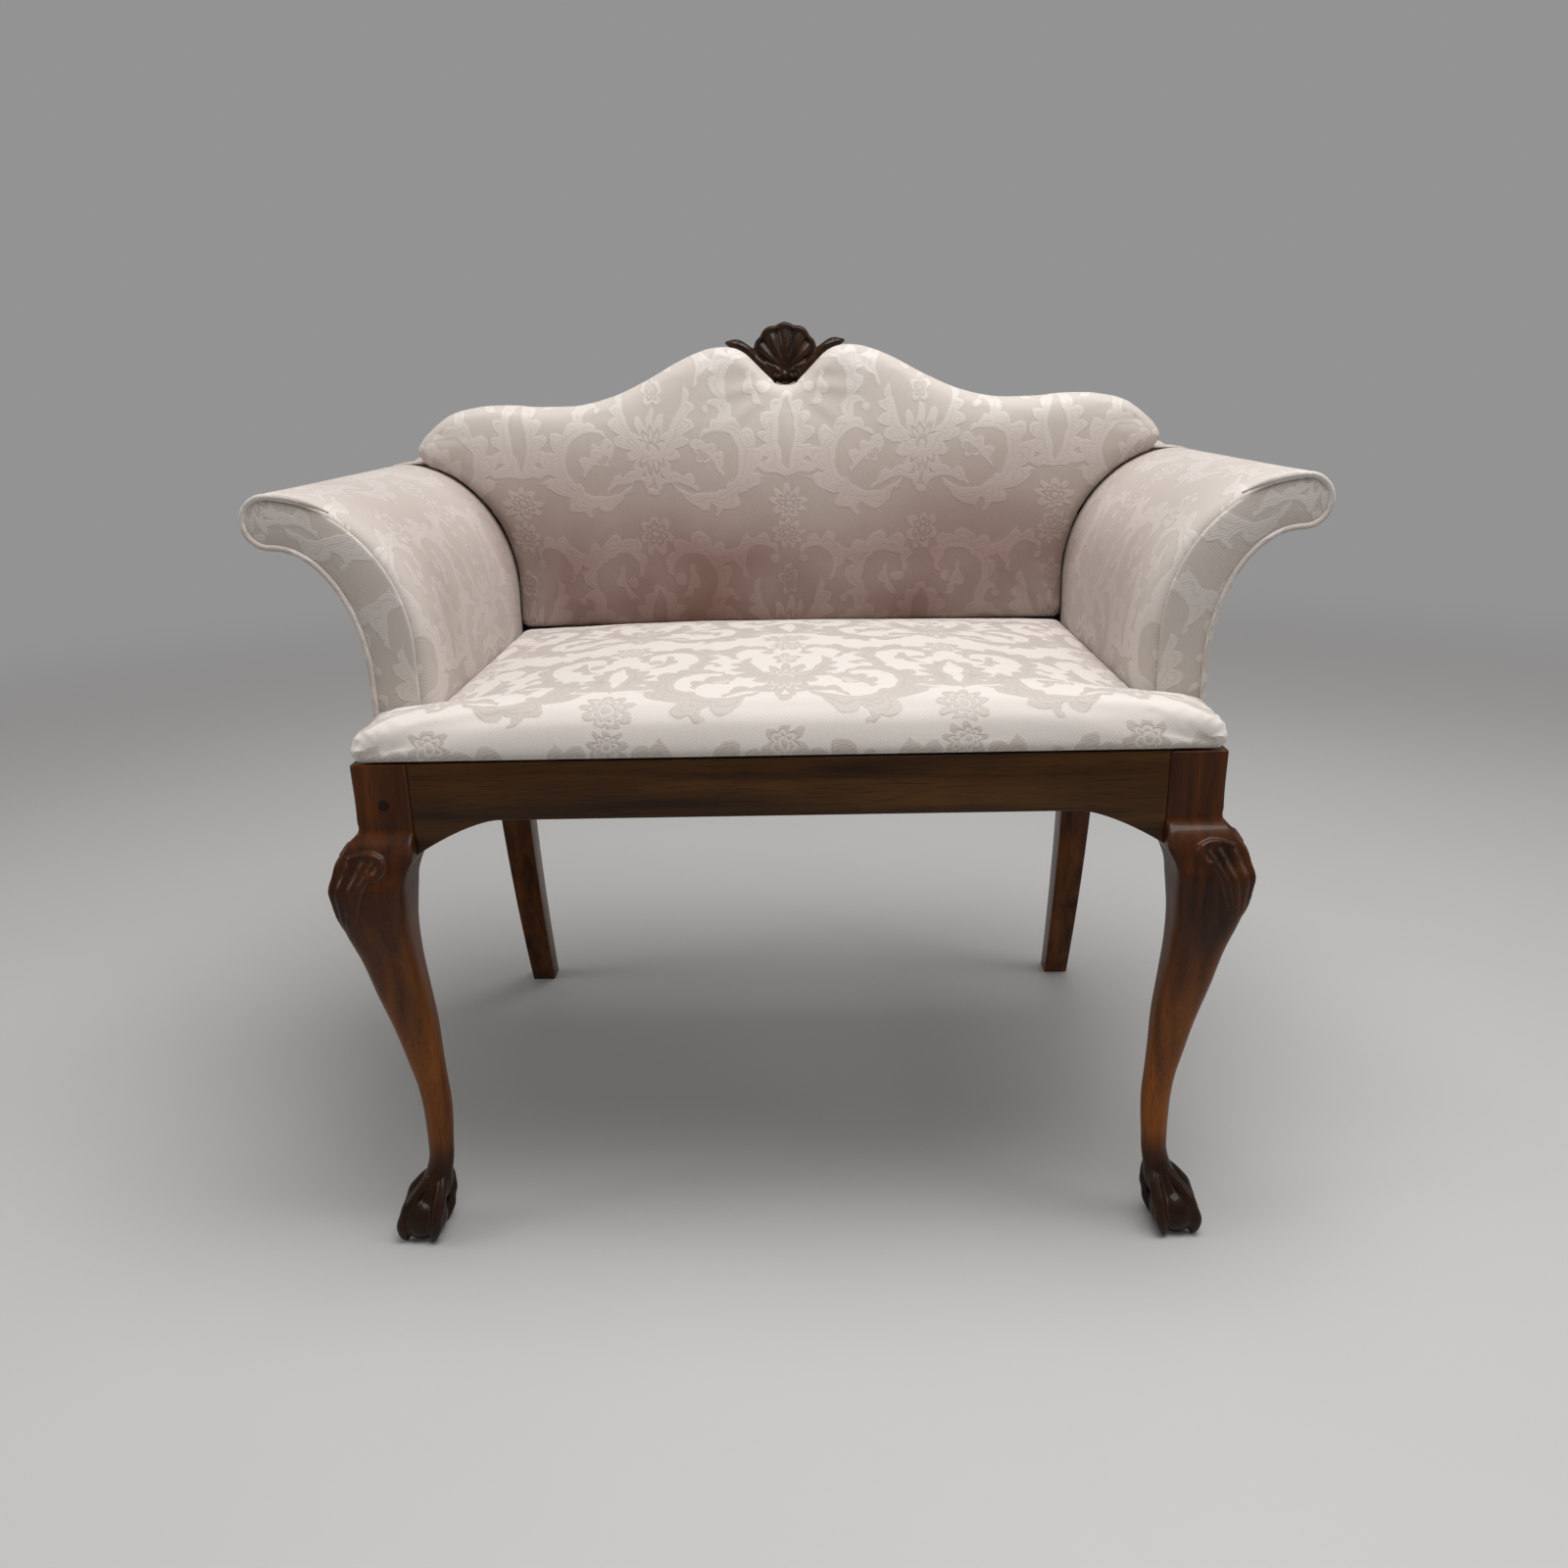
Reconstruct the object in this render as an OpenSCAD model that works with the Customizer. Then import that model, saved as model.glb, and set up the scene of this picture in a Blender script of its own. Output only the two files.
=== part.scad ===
// A small camel-back settee: cabriole front legs with claw-and-ball feet, raked rear posts,
// a tight upholstered seat, flared rolled arms and a carved shell on the crest.
// Right-hand pieces are drawn and left-hand ones are their mirror images.
// Units are millimetres, +Z is up and the front faces -Y.

/* [Seat frame] */
// Height of the top of the seat rails above the floor
rail_top = 430; // [400:5:470]
// Width across the two front leg blocks
seat_w = 670; // [600:10:900]
// Depth from the front leg blocks' faces to the back of the rear posts
seat_d = 446; // [420:2:520]
// Height of the front rail at its middle
rail_h = 47; // [44:1:60]
// How far the front rail's ends drop below its middle
rail_drop = 28; // [20:1:34]
// Length of the curve that each drop takes
drop_run = 66; // [50:2:90]
// Thickness of every seat rail
rail_t = 22; // [20:1:26]
// How far the rails stand back from the leg blocks' faces
rail_setback = 1.5; // [0.5:0.5:3]
// Height of the rear rail
rear_rail_h = 60; // [50:1:70]

/* [Front legs] */
// Width of the square block at the top of a front leg
block_w = 44; // [42:1:50]
// Width of the knee, the widest part of a front leg
knee_w = 58; // [52:1:64]
// How far the knee's middle lies outside the block's middle, both sideways and forwards
knee_shift = 15; // [12:1:18]
// Depth of the grooves between the carved lobes of the knee
lobe_depth = 3; // [1.5:0.5:4]
// Radius of the ball that each front foot grips
ball_r = 20; // [18:0.5:23]
// Thickness of a talon at its knuckles
talon_t = 11; // [9:0.5:13]
// Height at which the talons leave the ankle
claw_h = 47; // [42:1:54]

/* [Rear posts] */
// Width and depth of a rear post at the seat
post_w = 36; // [32:1:42]
// Width and depth of a rear post at the floor
post_foot_w = 27; // [22:1:32]
// How far the rear foot kicks back from the post above it
foot_kick = 80; // [50:2:110]
// Thickness of the back frame above the seat
stile_t = 28; // [24:1:32]
// Angle that the back leans from upright
lean = 3.5; // [2:0.5:8]

/* [Back] */
// Height of the two humps above the seat rails
back_h = 307; // [280:1:350]
// How far inside the middle of the arms' rolls the back's ears end
ear_in = 17; // [6:1:30]
// Thickness of the padding in front of the back frame, at its edge
back_pad_t = 14; // [10:1:20]
// How far the middle of the back swells forward of its edge
back_crown = 8; // [4:1:14]
// Thickness of the padding over the top of the back frame
rim_t = 9; // [7:0.5:12]
// Height of the top rail under the lowest stretch of the crest
top_rail_h = 42; // [34:1:50]
// Height of the stay rail above the seat rails
stay_rise = 50; // [46:1:70]
// Height of the stay rail itself
stay_h = 26; // [22:1:34]
// Width of the muntin in the middle of the back
muntin_w = 40; // [30:1:60]

/* [Arms] */
// How far the arms stand back from the front leg blocks' faces
arm_setback = 66; // [56:2:90]
// Thickness of an arm at the seat
arm_t = 50; // [48:1:56]
// How far an arm's roll reaches out beyond the seat frame
arm_flare = 86; // [75:1:96]
// Height of an arm above the seat rails
arm_h = 199; // [180:1:215]
// Radius of the roll along an arm's outer edge
roll_r = 22; // [20:1:26]
// Thickness of the padding over the roll
roll_pad_t = 8; // [6:1:10]
// Thickness of the post inside an arm's front end
arm_post_t = 28; // [22:1:34]
// Diameter of the welt sewn round an arm's front
welt_d = 5; // [4:0.5:6]

/* [Seat] */
// Height of the seat's edge above the rails
seat_edge_h = 28; // [24:1:40]
// How far the middle of the seat swells above its edge
seat_crown = 20; // [8:1:26]
// Width of every strip of webbing
web_w = 50; // [40:5:60]
// Number of webbing strips that run from side to side
web_rows = 5; // [4:1:6]
// Number of webbing strips that run from front to back
web_columns = 8; // [6:1:9]

/* [Crest] */
// Height of the carved shell above the dip that it stands in
shell_h = 59; // [50:1:68]
// Thickness of the shell at its edge
shell_t = 9; // [7:0.5:12]
// Height of the ribs on the shell's face
rib_h = 4; // [2:0.5:6]
// Number of ribs on the shell
shell_ribs = 9; // [7:2:11]
// Half of the width of the carved leaves beside the shell
leaf_half = 61; // [50:1:70]

/* [Hidden] */
$fn = 48;

mahogany = "#4a2a14";
beech = "#b58b5c";
cloth = "#d3c8bf";
jute = "#a58a5e";
steel = "#8d8f90";

wood_gap = 0.1;      // clearance all round a tenon in its mortise
soft_gap = 0.3;      // clearance between a soft solid and its neighbour
overrun = 5;         // how far a cut runs past what it cuts

// The seat frame's planes
half_w = seat_w / 2;
block_half = block_w / 2;
knee_half = knee_w / 2;
block_x = half_w - block_half;
block_inner = half_w - block_w;
post_inner = half_w - post_w;
post_front = seat_d - post_w;
rail_low = rail_top - rail_h;
side_outer = half_w - rail_setback;
side_inner = side_outer - rail_t;
front_inner = rail_setback + rail_t;
rear_outer = post_front + stile_t;
rear_inner = rear_outer - rail_t;

// Tenons and mortises
tenon_t = 9;         // thickness of every tenon
tenon_len = 16;      // length of the seat rails' tenons
tenon_h = 32;        // height of the seat rails' tenons
tenon_rise = 8;      // from a seat rail's top to its tenon
tenon_cheek = 7;     // from a seat rail's outer face to its tenon
stub_len = 12;       // length of the tenons in the back and the arms
stub_w = 20;         // width of those tenons

// Corner blocks and their screws
brace = 65;          // length of a corner block along each rail
brace_h = 36;        // height of a corner block
brace_drop = 5;      // from the rails' tops to a corner block
screw_d = 4;         // diameter of a screw's shank
head_d = 8;          // diameter of a screw's head
head_h = 3;          // height of a screw's head
screw_grip = 12;     // thickness of the block under a screw's head
screw_bite = 14;     // how far a screw enters its rail
screw_share = 0.66;  // a screw's place along the corner block

// Webbing, hessian and panels
web_t = 1.2;
hessian_t = 0.8;
web_inset = 9;       // from a rail's outer face to the end of a strip
panel_t = 2.4;       // thickness of the outside back, outside arms and arm facings
core_gap = panel_t + 2 * soft_gap;
pad_bottom = rail_top + 2 * web_t + hessian_t + soft_gap;
back_face = post_front - 2 * web_t - soft_gap;

// The arm's section: two quarter ellipses that end at the roll
arm_in = half_w - arm_t;
arm_top = rail_top + arm_h;
roll_x = half_w + arm_flare - roll_r;
roll_z = arm_top - roll_r;
ear_half = roll_x - ear_in;
arm_steps = 10;      // straight stretches in each curve of the section
curl_in_share = 0.35;
curl_out_share = 0.25;
curl_in_z = rail_top + arm_h * curl_in_share;
curl_out_z = rail_top + arm_h * curl_out_share;
arm_pad_t = arm_t - post_w;
arm_core_front = arm_setback + welt_d + soft_gap;
arm_core_back = arm_core_front + arm_post_t;
facing_inset = 7;    // from an arm's inner surface to the edge of its facing
round_run = 12;      // length over which an arm's front edge is rounded

// The crest, from its middle to an ear: shares of the back's half width and of its height
crest_shares = [
    [0, 0.884], [0.03, 0.892], [0.036, 0.896], [0.07, 0.935], [0.11, 0.982], [0.154, 1],
    [0.2, 0.995], [0.27, 0.965], [0.37, 0.9], [0.46, 0.852], [0.54, 0.828], [0.64, 0.824],
    [0.76, 0.832], [0.85, 0.823], [0.91, 0.799], [0.955, 0.756], [0.99, 0.71], [1, 0.684]
];
crest_low_share = 0.824;
top_rail_low = rail_top + back_h * crest_low_share - rim_t - top_rail_h;
stay_low = rail_top + stay_rise;
stay_high = stay_low + stay_h;
back_pad_low = rail_top + seat_edge_h + soft_gap;
pillow_middle = [0, mix(back_pad_low, rail_top + back_h, 0.35)];
shell_seat_half = 0.03 * ear_half;

// A front leg from the ankle to the knee: shares of its height, of the knee's shift and of
// half the knee's width, and then how round it is, from 0 for square to 1 for round
leg_shares = [
    [0.07, 0.5, 0.52, 1], [0.09, 0.2, 0.5, 1], [0.12, -0.06, 0.41, 1], [0.15, -0.25, 0.37, 1],
    [0.19, -0.32, 0.37, 0.95], [0.23, -0.36, 0.39, 0.9], [0.28, -0.36, 0.41, 0.85],
    [0.32, -0.29, 0.42, 0.8], [0.38, -0.13, 0.48, 0.75], [0.46, 0.09, 0.58, 0.7],
    [0.54, 0.41, 0.67, 0.65], [0.62, 0.7, 0.75, 0.6], [0.69, 0.95, 0.88, 0.5],
    [0.72, 1, 0.94, 0.45], [0.75, 1, 0.98, 0.4], [0.78, 0.97, 1, 0.3], [0.805, 0.73, 0.98, 0.15]
];
shoulder_share = 0.3;
bracket_z = rail_low - rail_drop;
shoulder_z = mix(rail_low, bracket_z, shoulder_share);
leg_rows = concat(
    [for (s = leg_shares) [s[0] * rail_top, s[1] * knee_shift, s[2] * knee_half, s[3]]],
    [bracket_row(bracket_z, 0.5, 0.1), bracket_row(mix(shoulder_z, bracket_z, 0.4), 0.32, 0.05),
     bracket_row(shoulder_z, 0, 0), bracket_row(rail_top, 0, 0)]);
knee_low = 0.67 * rail_top;
leg_foot = leg_shares[0][0] * rail_top;
leg_levels = concat(
    [for (t = steps(17)) mix(leg_foot, knee_low, t)],
    [for (t = steps(17)) if (t > 0) mix(knee_low, shoulder_z, t)],
    [rail_top]);
leg_angles = concat([for (a = [-90:5:-5]) a], [for (a = [0:15:255]) a]);
foot_shift = 0.8 * knee_shift;
ball_sink = 3;       // how much of the ball is cut away where it stands

// One talon from the ankle to its claw: reach as a share of the ball's radius, then height
// as a share of the talons' own, then thickness as a share of the knuckles'
talon_shares = [
    [0.28, 1.12, 0.8], [0.62, 0.96, 1], [0.98, 0.68, 1.05], [1.12, 0.4, 0.85],
    [1.02, 0.14, 0.7], [0.86, 0.03, 0.35]
];

// The carcase stands with the middle of its floor plan at the origin
front_reach = max([for (z = leg_levels) leg_row(z)[1] + leg_row(z)[2]]) - block_half;
rear_reach = seat_d - post_w / 2 + foot_kick + post_foot_w / 2;
mid_y = (rear_reach - front_reach) / 2;

function mix(a, b, t) = a + (b - a) * t;
function clamp01(t) = min(1, max(0, t));
function steps(n) = [for (i = [0:n]) i / n];
function reversed(list) = [for (i = [len(list) - 1:-1:0]) list[i]];
function flipped(list) = [for (p = reversed(list)) [-p[0], p[1]]];
function distinct(path) = [for (i = [0:len(path) - 1])
    if (i == 0 || norm(path[i] - path[i - 1]) > wood_gap) path[i]];

// A row read from a table that rises in its first column, with straight lines between rows
function row_at(rows, key) =
    let (k = max([for (i = [0:len(rows) - 2]) rows[i][0] <= key ? i : 0]),
         t = clamp01((key - rows[k][0]) / (rows[k + 1][0] - rows[k][0])))
    mix(rows[k], rows[k + 1], t);

// The same, eased by its neighbours above and below
function eased_row(rows, key, d) =
    (row_at(rows, key - d) + 2 * row_at(rows, key) + row_at(rows, key + d)) / 4;

// Moves each point of a closed anticlockwise outline inwards
function inset(outline, d) = let (n = len(outline)) [for (i = [0:n - 1])
    let (t = outline[(i + 1) % n] - outline[(i + n - 1) % n])
    outline[i] + d * [-t[1], t[0]] / norm(t)];

// A closed skin through rings that all have the same number of points. Its ends are one face each,
// or with thin a strip of triangles between the two halves of a bent, thin ring.
module loft(rings, thin = false) {
    n = len(rings[0]);
    m = len(rings);
    end = (m - 1) * n;
    sides = [for (k = [0:m - 2]) for (i = [0:n - 1])
        let (a = k * n + i, b = k * n + (i + 1) % n)
        each [[a, b + n, b], [a, a + n, b + n]]];
    strip = [for (i = [0:n / 2 - 2]) each [[i, i + 1, n - 2 - i], [i, n - 2 - i, n - 1 - i]]];
    first = thin ? strip : [[for (i = [0:n - 1]) i]];
    last = [for (face = first) [for (i = reversed(face)) end + i]];
    polyhedron(points = [for (r = rings) each r], faces = concat(sides, first, last), convexity = 10);
}

// Places what is drawn with the leg blocks' faces at y = 0
module placed() { translate([0, -mid_y, 0]) children(); }
module mirrored() { mirror([1, 0, 0]) children(); }
module both_sides() { children(); mirrored() children(); }

// Leans the back about the front foot of its posts
lean_pivot = [0, post_front, rail_top];
module leaned() { translate(lean_pivot) rotate([-lean, 0, 0]) translate(-lean_pivot) children(); }
function leaned(p) =
    let (y = p[1] - lean_pivot[1], z = p[2] - lean_pivot[2])
    [p[0], lean_pivot[1] + y * cos(lean) + z * sin(lean), lean_pivot[2] - y * sin(lean) + z * cos(lean)];
function lean_y(y, z) = y + (z - rail_top) * tan(lean);

// Runs a profile drawn in X and Z from y0 back to y1, or one drawn in Y and Z from x0 to x1
module run_back(y0, y1) {
    translate([0, y1, 0]) rotate([90, 0, 0]) linear_extrude(height = y1 - y0) children();
}
module run_right(x0, x1) {
    translate([x0, 0, 0]) rotate([90, 0, 90]) linear_extrude(height = x1 - x0) children();
}
module slab(low, high, grow = 0) {
    translate(low - [grow, grow, grow]) cube(high - low + 2 * [grow, grow, grow]);
}

// The seat rails

// The lower edge of a rail's shaped end, from where the drop starts to the leg
function drop_curve(x_end) =
    [for (t = steps(8)) [x_end - drop_run * (1 - t), rail_low - rail_drop * pow(t, 1.5)]];

tenon_high = rail_top - tenon_rise;
tenon_low = tenon_high - tenon_h;
module rail_tenon_front(grow) {
    y = rail_setback + tenon_cheek;
    slab([block_inner - overrun, y, tenon_low], [block_inner + tenon_len, y + tenon_t, tenon_high], grow);
}
module rail_tenon_side(grow) {
    x = side_outer - tenon_cheek;
    slab([x - tenon_t, block_w - tenon_len, tenon_low], [x, post_front + tenon_len, tenon_high], grow);
}
module rail_tenon_rear(grow) {
    y = rear_outer - tenon_cheek;
    slab([post_inner - overrun, y - tenon_t, tenon_low], [post_inner + tenon_len, y, tenon_high], grow);
}

module front_rail() {
    color(mahogany) placed() difference() {
        union() {
            run_back(rail_setback, front_inner) polygon(concat(
                [[block_inner, rail_top], [-block_inner, rail_top]],
                flipped(drop_curve(block_inner)),
                drop_curve(block_inner)));
            both_sides() rail_tenon_front(0);
        }
        both_sides() at_front_screw() screw_hole();
    }
}

module side_rail() {
    color(mahogany) placed() difference() {
        union() {
            run_right(side_inner, side_outer) polygon(concat(
                [[block_w, rail_top], [block_w, rail_low - rail_drop]],
                [for (p = reversed(drop_curve(0))) [block_w - p[0], p[1]]],
                [[post_front, rail_low], [post_front, rail_top]]));
            rail_tenon_side(0);
        }
        at_side_screws() screw_hole();
        arm_post_tenon(wood_gap);
    }
}

module rear_rail() {
    color(mahogany) placed() difference() {
        union() {
            slab([-post_inner, rear_inner, rail_top - rear_rail_h], [post_inner, rear_outer, rail_top]);
            both_sides() rail_tenon_rear(0);
        }
        both_sides() at_rear_screw() screw_hole();
    }
}

// The corner blocks and their screws

module corner_block(face_y, post, way) {
    difference() {
        translate([0, 0, rail_top - brace_drop - brace_h]) linear_extrude(height = brace_h) polygon([
            [post[0], face_y], [side_inner - brace, face_y], [side_inner, face_y + way * brace],
            [side_inner, post[1]], post]);
        children();
    }
}

screw_z = rail_top - brace_drop - brace_h / 2;
screw_x = side_inner - screw_share * brace;
module at_front_screw() {
    translate([screw_x, front_inner - screw_bite, screw_z]) rotate([-90, 0, 0]) children();
}
module at_rear_screw() {
    translate([screw_x, rear_inner + screw_bite, screw_z]) rotate([90, 0, 0]) children();
}
module at_side_screws() {
    for (y = [front_inner + screw_share * brace, rear_inner - screw_share * brace])
        translate([side_inner + screw_bite, y, screw_z]) rotate([0, -90, 0]) children();
}

module screw() {
    cylinder(d = screw_d, h = screw_bite + screw_grip);
    translate([0, 0, screw_bite + screw_grip]) cylinder(d = head_d, h = head_h);
}
module screw_hole() {
    cylinder(d = screw_d + 2 * wood_gap, h = screw_bite + screw_grip + overrun);
    translate([0, 0, screw_bite + screw_grip]) cylinder(d = head_d + 2 * wood_gap, h = brace);
}

module corner_blocks() {
    color(beech) placed() both_sides() {
        corner_block(front_inner, [block_inner, block_w], 1) {
            at_front_screw() screw_hole();
            at_side_screws() screw_hole();
        }
        corner_block(rear_inner, [post_inner, post_front], -1) {
            at_rear_screw() screw_hole();
            at_side_screws() screw_hole();
        }
    }
}

module corner_block_screws() {
    color(steel) placed() both_sides() {
        at_front_screw() screw();
        at_rear_screw() screw();
        at_side_screws() screw();
    }
}

// The front legs

// Above the bracket a leg swells only outwards, so that the rails meet flat faces
function bracket_row(z, shift_share, roundness) =
    [z, shift_share * knee_shift, block_half + shift_share * knee_shift, roundness];
function leg_row(z) = z >= bracket_z ? row_at(leg_rows, z) : eased_row(leg_rows, z, knee_shift / 2);

// Grooves that part the knee's lobes, which fan down and outwards from its inner top
function knee_groove(z, a) =
    let (u = (a + 90) / 90, v = (z - knee_low) / (shoulder_z - knee_low))
    u <= 0 || u >= 1 || v <= 0 || v >= 1 ? 0
    : lobe_depth * (1 - abs(sin(180 * (4 * u + 1.4 * v)))) * sqrt(sin(180 * u) * sin(180 * v));

function leg_ring(z) = let (row = leg_row(z)) [for (a = leg_angles)
    let (r = row[2] * mix(1 / max(abs(cos(a)), abs(sin(a))), 1, row[3]) - knee_groove(z, a))
    [block_x + row[1] + r * cos(a), block_half - row[1] + r * sin(a), z]];

function talon_point(turn, s) =
    let (shift = mix(foot_shift, leg_row(claw_h)[1], pow(s[1], 2)))
    [block_x + shift + s[0] * ball_r * cos(turn), block_half - shift + s[0] * ball_r * sin(turn),
     s[1] * claw_h];

// A chain of knuckles that grips the ball and ends in a claw
module talon(turn) {
    for (k = [0:len(talon_shares) - 2]) hull() for (s = [talon_shares[k], talon_shares[k + 1]])
        translate(talon_point(turn, s)) sphere(d = s[2] * talon_t, $fn = 10);
}

module front_leg() {
    color(mahogany) placed() difference() {
        union() {
            loft([for (z = leg_levels) leg_ring(z)]);
            translate([block_x + foot_shift, block_half - foot_shift, ball_r - ball_sink])
                sphere(r = ball_r, $fn = 28);
            for (turn = [-45, 35, -125, 135]) talon(turn);
        }
        slab([0, -seat_d, -seat_d], [seat_w, seat_d, 0]);
        rail_tenon_front(wood_gap);
        rail_tenon_side(wood_gap);
    }
}

// The rear posts

module rear_post() {
    foot_y = seat_d - post_w / 2 + foot_kick;
    stile_top = leaned([0, post_front, top_rail_low]);
    stile_top_back = leaned([0, rear_outer, top_rail_low]);
    color(mahogany) placed() difference() {
        union() {
            intersection() {
                run_right(post_inner, half_w) polygon(concat(
                    [[post_front, rail_top], [stile_top[1], stile_top[2]],
                     [stile_top_back[1], stile_top_back[2]], [rear_outer, rail_top], [seat_d, rail_top]],
                    rake(seat_d, foot_y + post_foot_w / 2),
                    reversed(rake(post_front, foot_y - post_foot_w / 2))));
                run_back(0, seat_d + foot_kick + post_w) polygon([
                    [post_inner, stile_top[2] + overrun], [half_w - core_gap, stile_top[2] + overrun],
                    [half_w - core_gap, rail_top], [half_w, rail_top], [half_w, rail_top - rear_rail_h],
                    [half_w - (post_w - post_foot_w) / 2, 0], [post_inner + (post_w - post_foot_w) / 2, 0],
                    [post_inner, rail_top - rear_rail_h]]);
            }
            stile_tenon(0);
        }
        rail_tenon_rear(wood_gap);
        rail_tenon_side(wood_gap);
        leaned() stay_tenon(wood_gap);
    }
}

// The rear leg's rake: straight past the rail and then curving back to the floor
function rake(y_top, y_foot) = [for (t = steps(8))
    [mix(y_top, y_foot, pow(t, 1.7)), (rail_top - rear_rail_h) * (1 - t)]];

module stile_tenon(grow) {
    x = half_w - post_w / 2;
    y = post_front + stile_t / 2;
    leaned() slab([x - stub_w / 2, y - tenon_t / 2, top_rail_low - overrun],
                  [x + stub_w / 2, y + tenon_t / 2, top_rail_low + stub_len], grow);
}

// The seat's webbing, hessian and cushion

module seat_webbing_lengthwise() {
    y0 = arm_core_back + web_inset + web_w / 2;
    y1 = post_front - web_inset - web_w / 2;
    x1 = half_w - web_inset;
    color(jute) placed() for (t = steps(web_rows - 1)) translate([0, mix(y0, y1, t), 0])
        slab([-x1, -web_w / 2, rail_top], [x1, web_w / 2, rail_top + web_t]);
}

module seat_webbing_crosswise() {
    x1 = post_inner - web_inset - web_w / 2;
    y1 = rear_outer - web_inset;
    color(jute) placed() for (t = steps(web_columns - 1)) translate([mix(-x1, x1, t), 0, 0])
        slab([-web_w / 2, web_inset, rail_top + web_t], [web_w / 2, y1, rail_top + 2 * web_t]);
}

module seat_hessian() {
    low = rail_top + 2 * web_t;
    x1 = half_w - web_inset;
    color(jute) placed() difference() {
        slab([-x1, web_inset, low], [x1, rear_outer - web_inset, low + hessian_t]);
        both_sides() {
            slab([arm_in, arm_core_front, rail_top], [half_w, arm_core_back, rail_top + web_w], soft_gap);
            slab([post_inner, post_front, rail_top], [half_w, seat_d, rail_top + web_w], soft_gap);
        }
    }
}

// The seat from front to back: distance back, half width, underside and edge height.
// Its front rolls over the rail, and it narrows where the arms begin.
seat_round = 13;     // radius of the seat's upper edge
seat_lip = 2;        // how far the seat's front swells past the leg blocks
seat_edge = rail_top + seat_edge_h;
seat_under = rail_top + soft_gap;
seat_wide = half_w - seat_lip;
seat_narrow = arm_in - soft_gap;
seat_stations = concat(
    [[-seat_lip, seat_wide - seat_lip, mix(seat_under, seat_edge, 0.3), mix(seat_under, seat_edge, 0.55)],
     [-seat_lip / 2, seat_wide, mix(seat_under, seat_edge, 0.1), mix(seat_under, seat_edge, 0.75)],
     [seat_lip, half_w, seat_under, mix(seat_under, seat_edge, 0.88)],
     [seat_lip * 3, half_w, seat_under, mix(seat_under, seat_edge, 0.96)],
     [web_inset - soft_gap, half_w, seat_under, seat_edge],
     [web_inset - soft_gap / 2, half_w, pad_bottom, seat_edge]],
    [for (t = steps(3)) [mix(web_inset * 2, arm_setback - soft_gap, t), half_w, pad_bottom, seat_edge]],
    [[arm_setback - soft_gap / 2, seat_narrow, pad_bottom, seat_edge]],
    [for (t = steps(11))
        [mix(arm_setback + seat_lip, back_face - soft_gap, t), seat_narrow, pad_bottom, seat_edge]]);

function seat_ring(s) =
    let (y = s[0], w = s[1], low = s[2], high = s[3], v = clamp01(y / back_face),
         r = min(seat_round, (high - low) / 2),
         crown = seat_crown * pow(sin(180 * pow(v, 0.8)), 0.6),
         base = [[-w + r, low], [w - r, low], [w, low + r / 2]],
         side = [for (a = [0:30:60]) [w - r + r * cos(a), high - r + r * sin(a)]],
         top = [for (u = [-1:0.125:1]) [-u * (w - r), high + crown * (1 - pow(abs(u), 3))]])
    [for (p = reversed(concat(base, side, top, flipped(side), [[-w, low + r / 2]]))) [p[0], y, p[1]]];

module seat_cushion() {
    color(cloth) placed() loft([for (s = seat_stations) seat_ring(s)]);
}

// The back

// The crest's outline from the right ear to the left one
crest_right = [for (s = reversed(crest_shares)) [s[0] * ear_half, rail_top + s[1] * back_h]];
crest_outline = concat(crest_right, [for (p = flipped(crest_right)) if (p[0] < 0) p]);

// The inside back's outline, which meets the arms along their upper surface
pad_side = [for (p = arm_inner_path(-soft_gap, -soft_gap))
    if (p[0] < ear_half - rim_t && p[1] > back_pad_low) p];
pad_foot = [for (t = steps(4)) [t * (arm_in - soft_gap), back_pad_low + seat_lip * (1 - t * t)]];
pad_right = concat([for (p = pad_foot) if (p[0] > 0) p], pad_side);
back_outline = concat([pad_foot[0]], pad_right, crest_outline, flipped(pad_right));

// The cushion wraps over the top rail, except where the carving stands on it
crest_first = 1 + len(pad_right);
crest_last = crest_first + len(crest_outline) - 1;
function wraps(i) = i >= crest_first && i <= crest_last
    && abs(back_outline[i][0]) > shell_seat_half + soft_gap;
function back_ring(d, y, s = 1) = [for (p = inset(back_outline, d))
    let (q = mix(pillow_middle, p, s)) leaned([q[0], y, q[1]])];
function wrap_ring(d_wrapped, d_plain, y_wrapped, y_plain) =
    let (a = inset(back_outline, d_wrapped), b = inset(back_outline, d_plain))
    [for (i = [0:len(back_outline) - 1]) wraps(i)
        ? leaned([a[i][0], y_wrapped, a[i][1]]) : leaned([b[i][0], y_plain, b[i][1]])];

module back_cushion() {
    edge_y = back_face - back_pad_t * 0.4;
    front_y = back_face - back_pad_t;
    color(cloth) placed() loft(concat(
        [back_ring(rim_t, back_face),
         wrap_ring(rim_t, rim_t / 2, rear_outer, back_face),
         wrap_ring(0, rim_t / 6, rear_outer, back_face),
         back_ring(0, edge_y),
         back_ring(rim_t * 0.3, mix(edge_y, front_y, 0.6)),
         back_ring(rim_t * 0.9, front_y)],
        [for (s = [0.9, 0.75, 0.55, 0.3, 0.08])
            back_ring(rim_t * 0.9, front_y - back_crown * (1 - pow(s, 2.4)), s)]));
}

module stay_tenon(grow) {
    low = [post_inner - overrun, post_front + tenon_cheek, stay_low + (stay_h - stub_w) / 2];
    slab(low, low + [overrun + stub_len, tenon_t, stub_w], grow);
}

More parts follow.
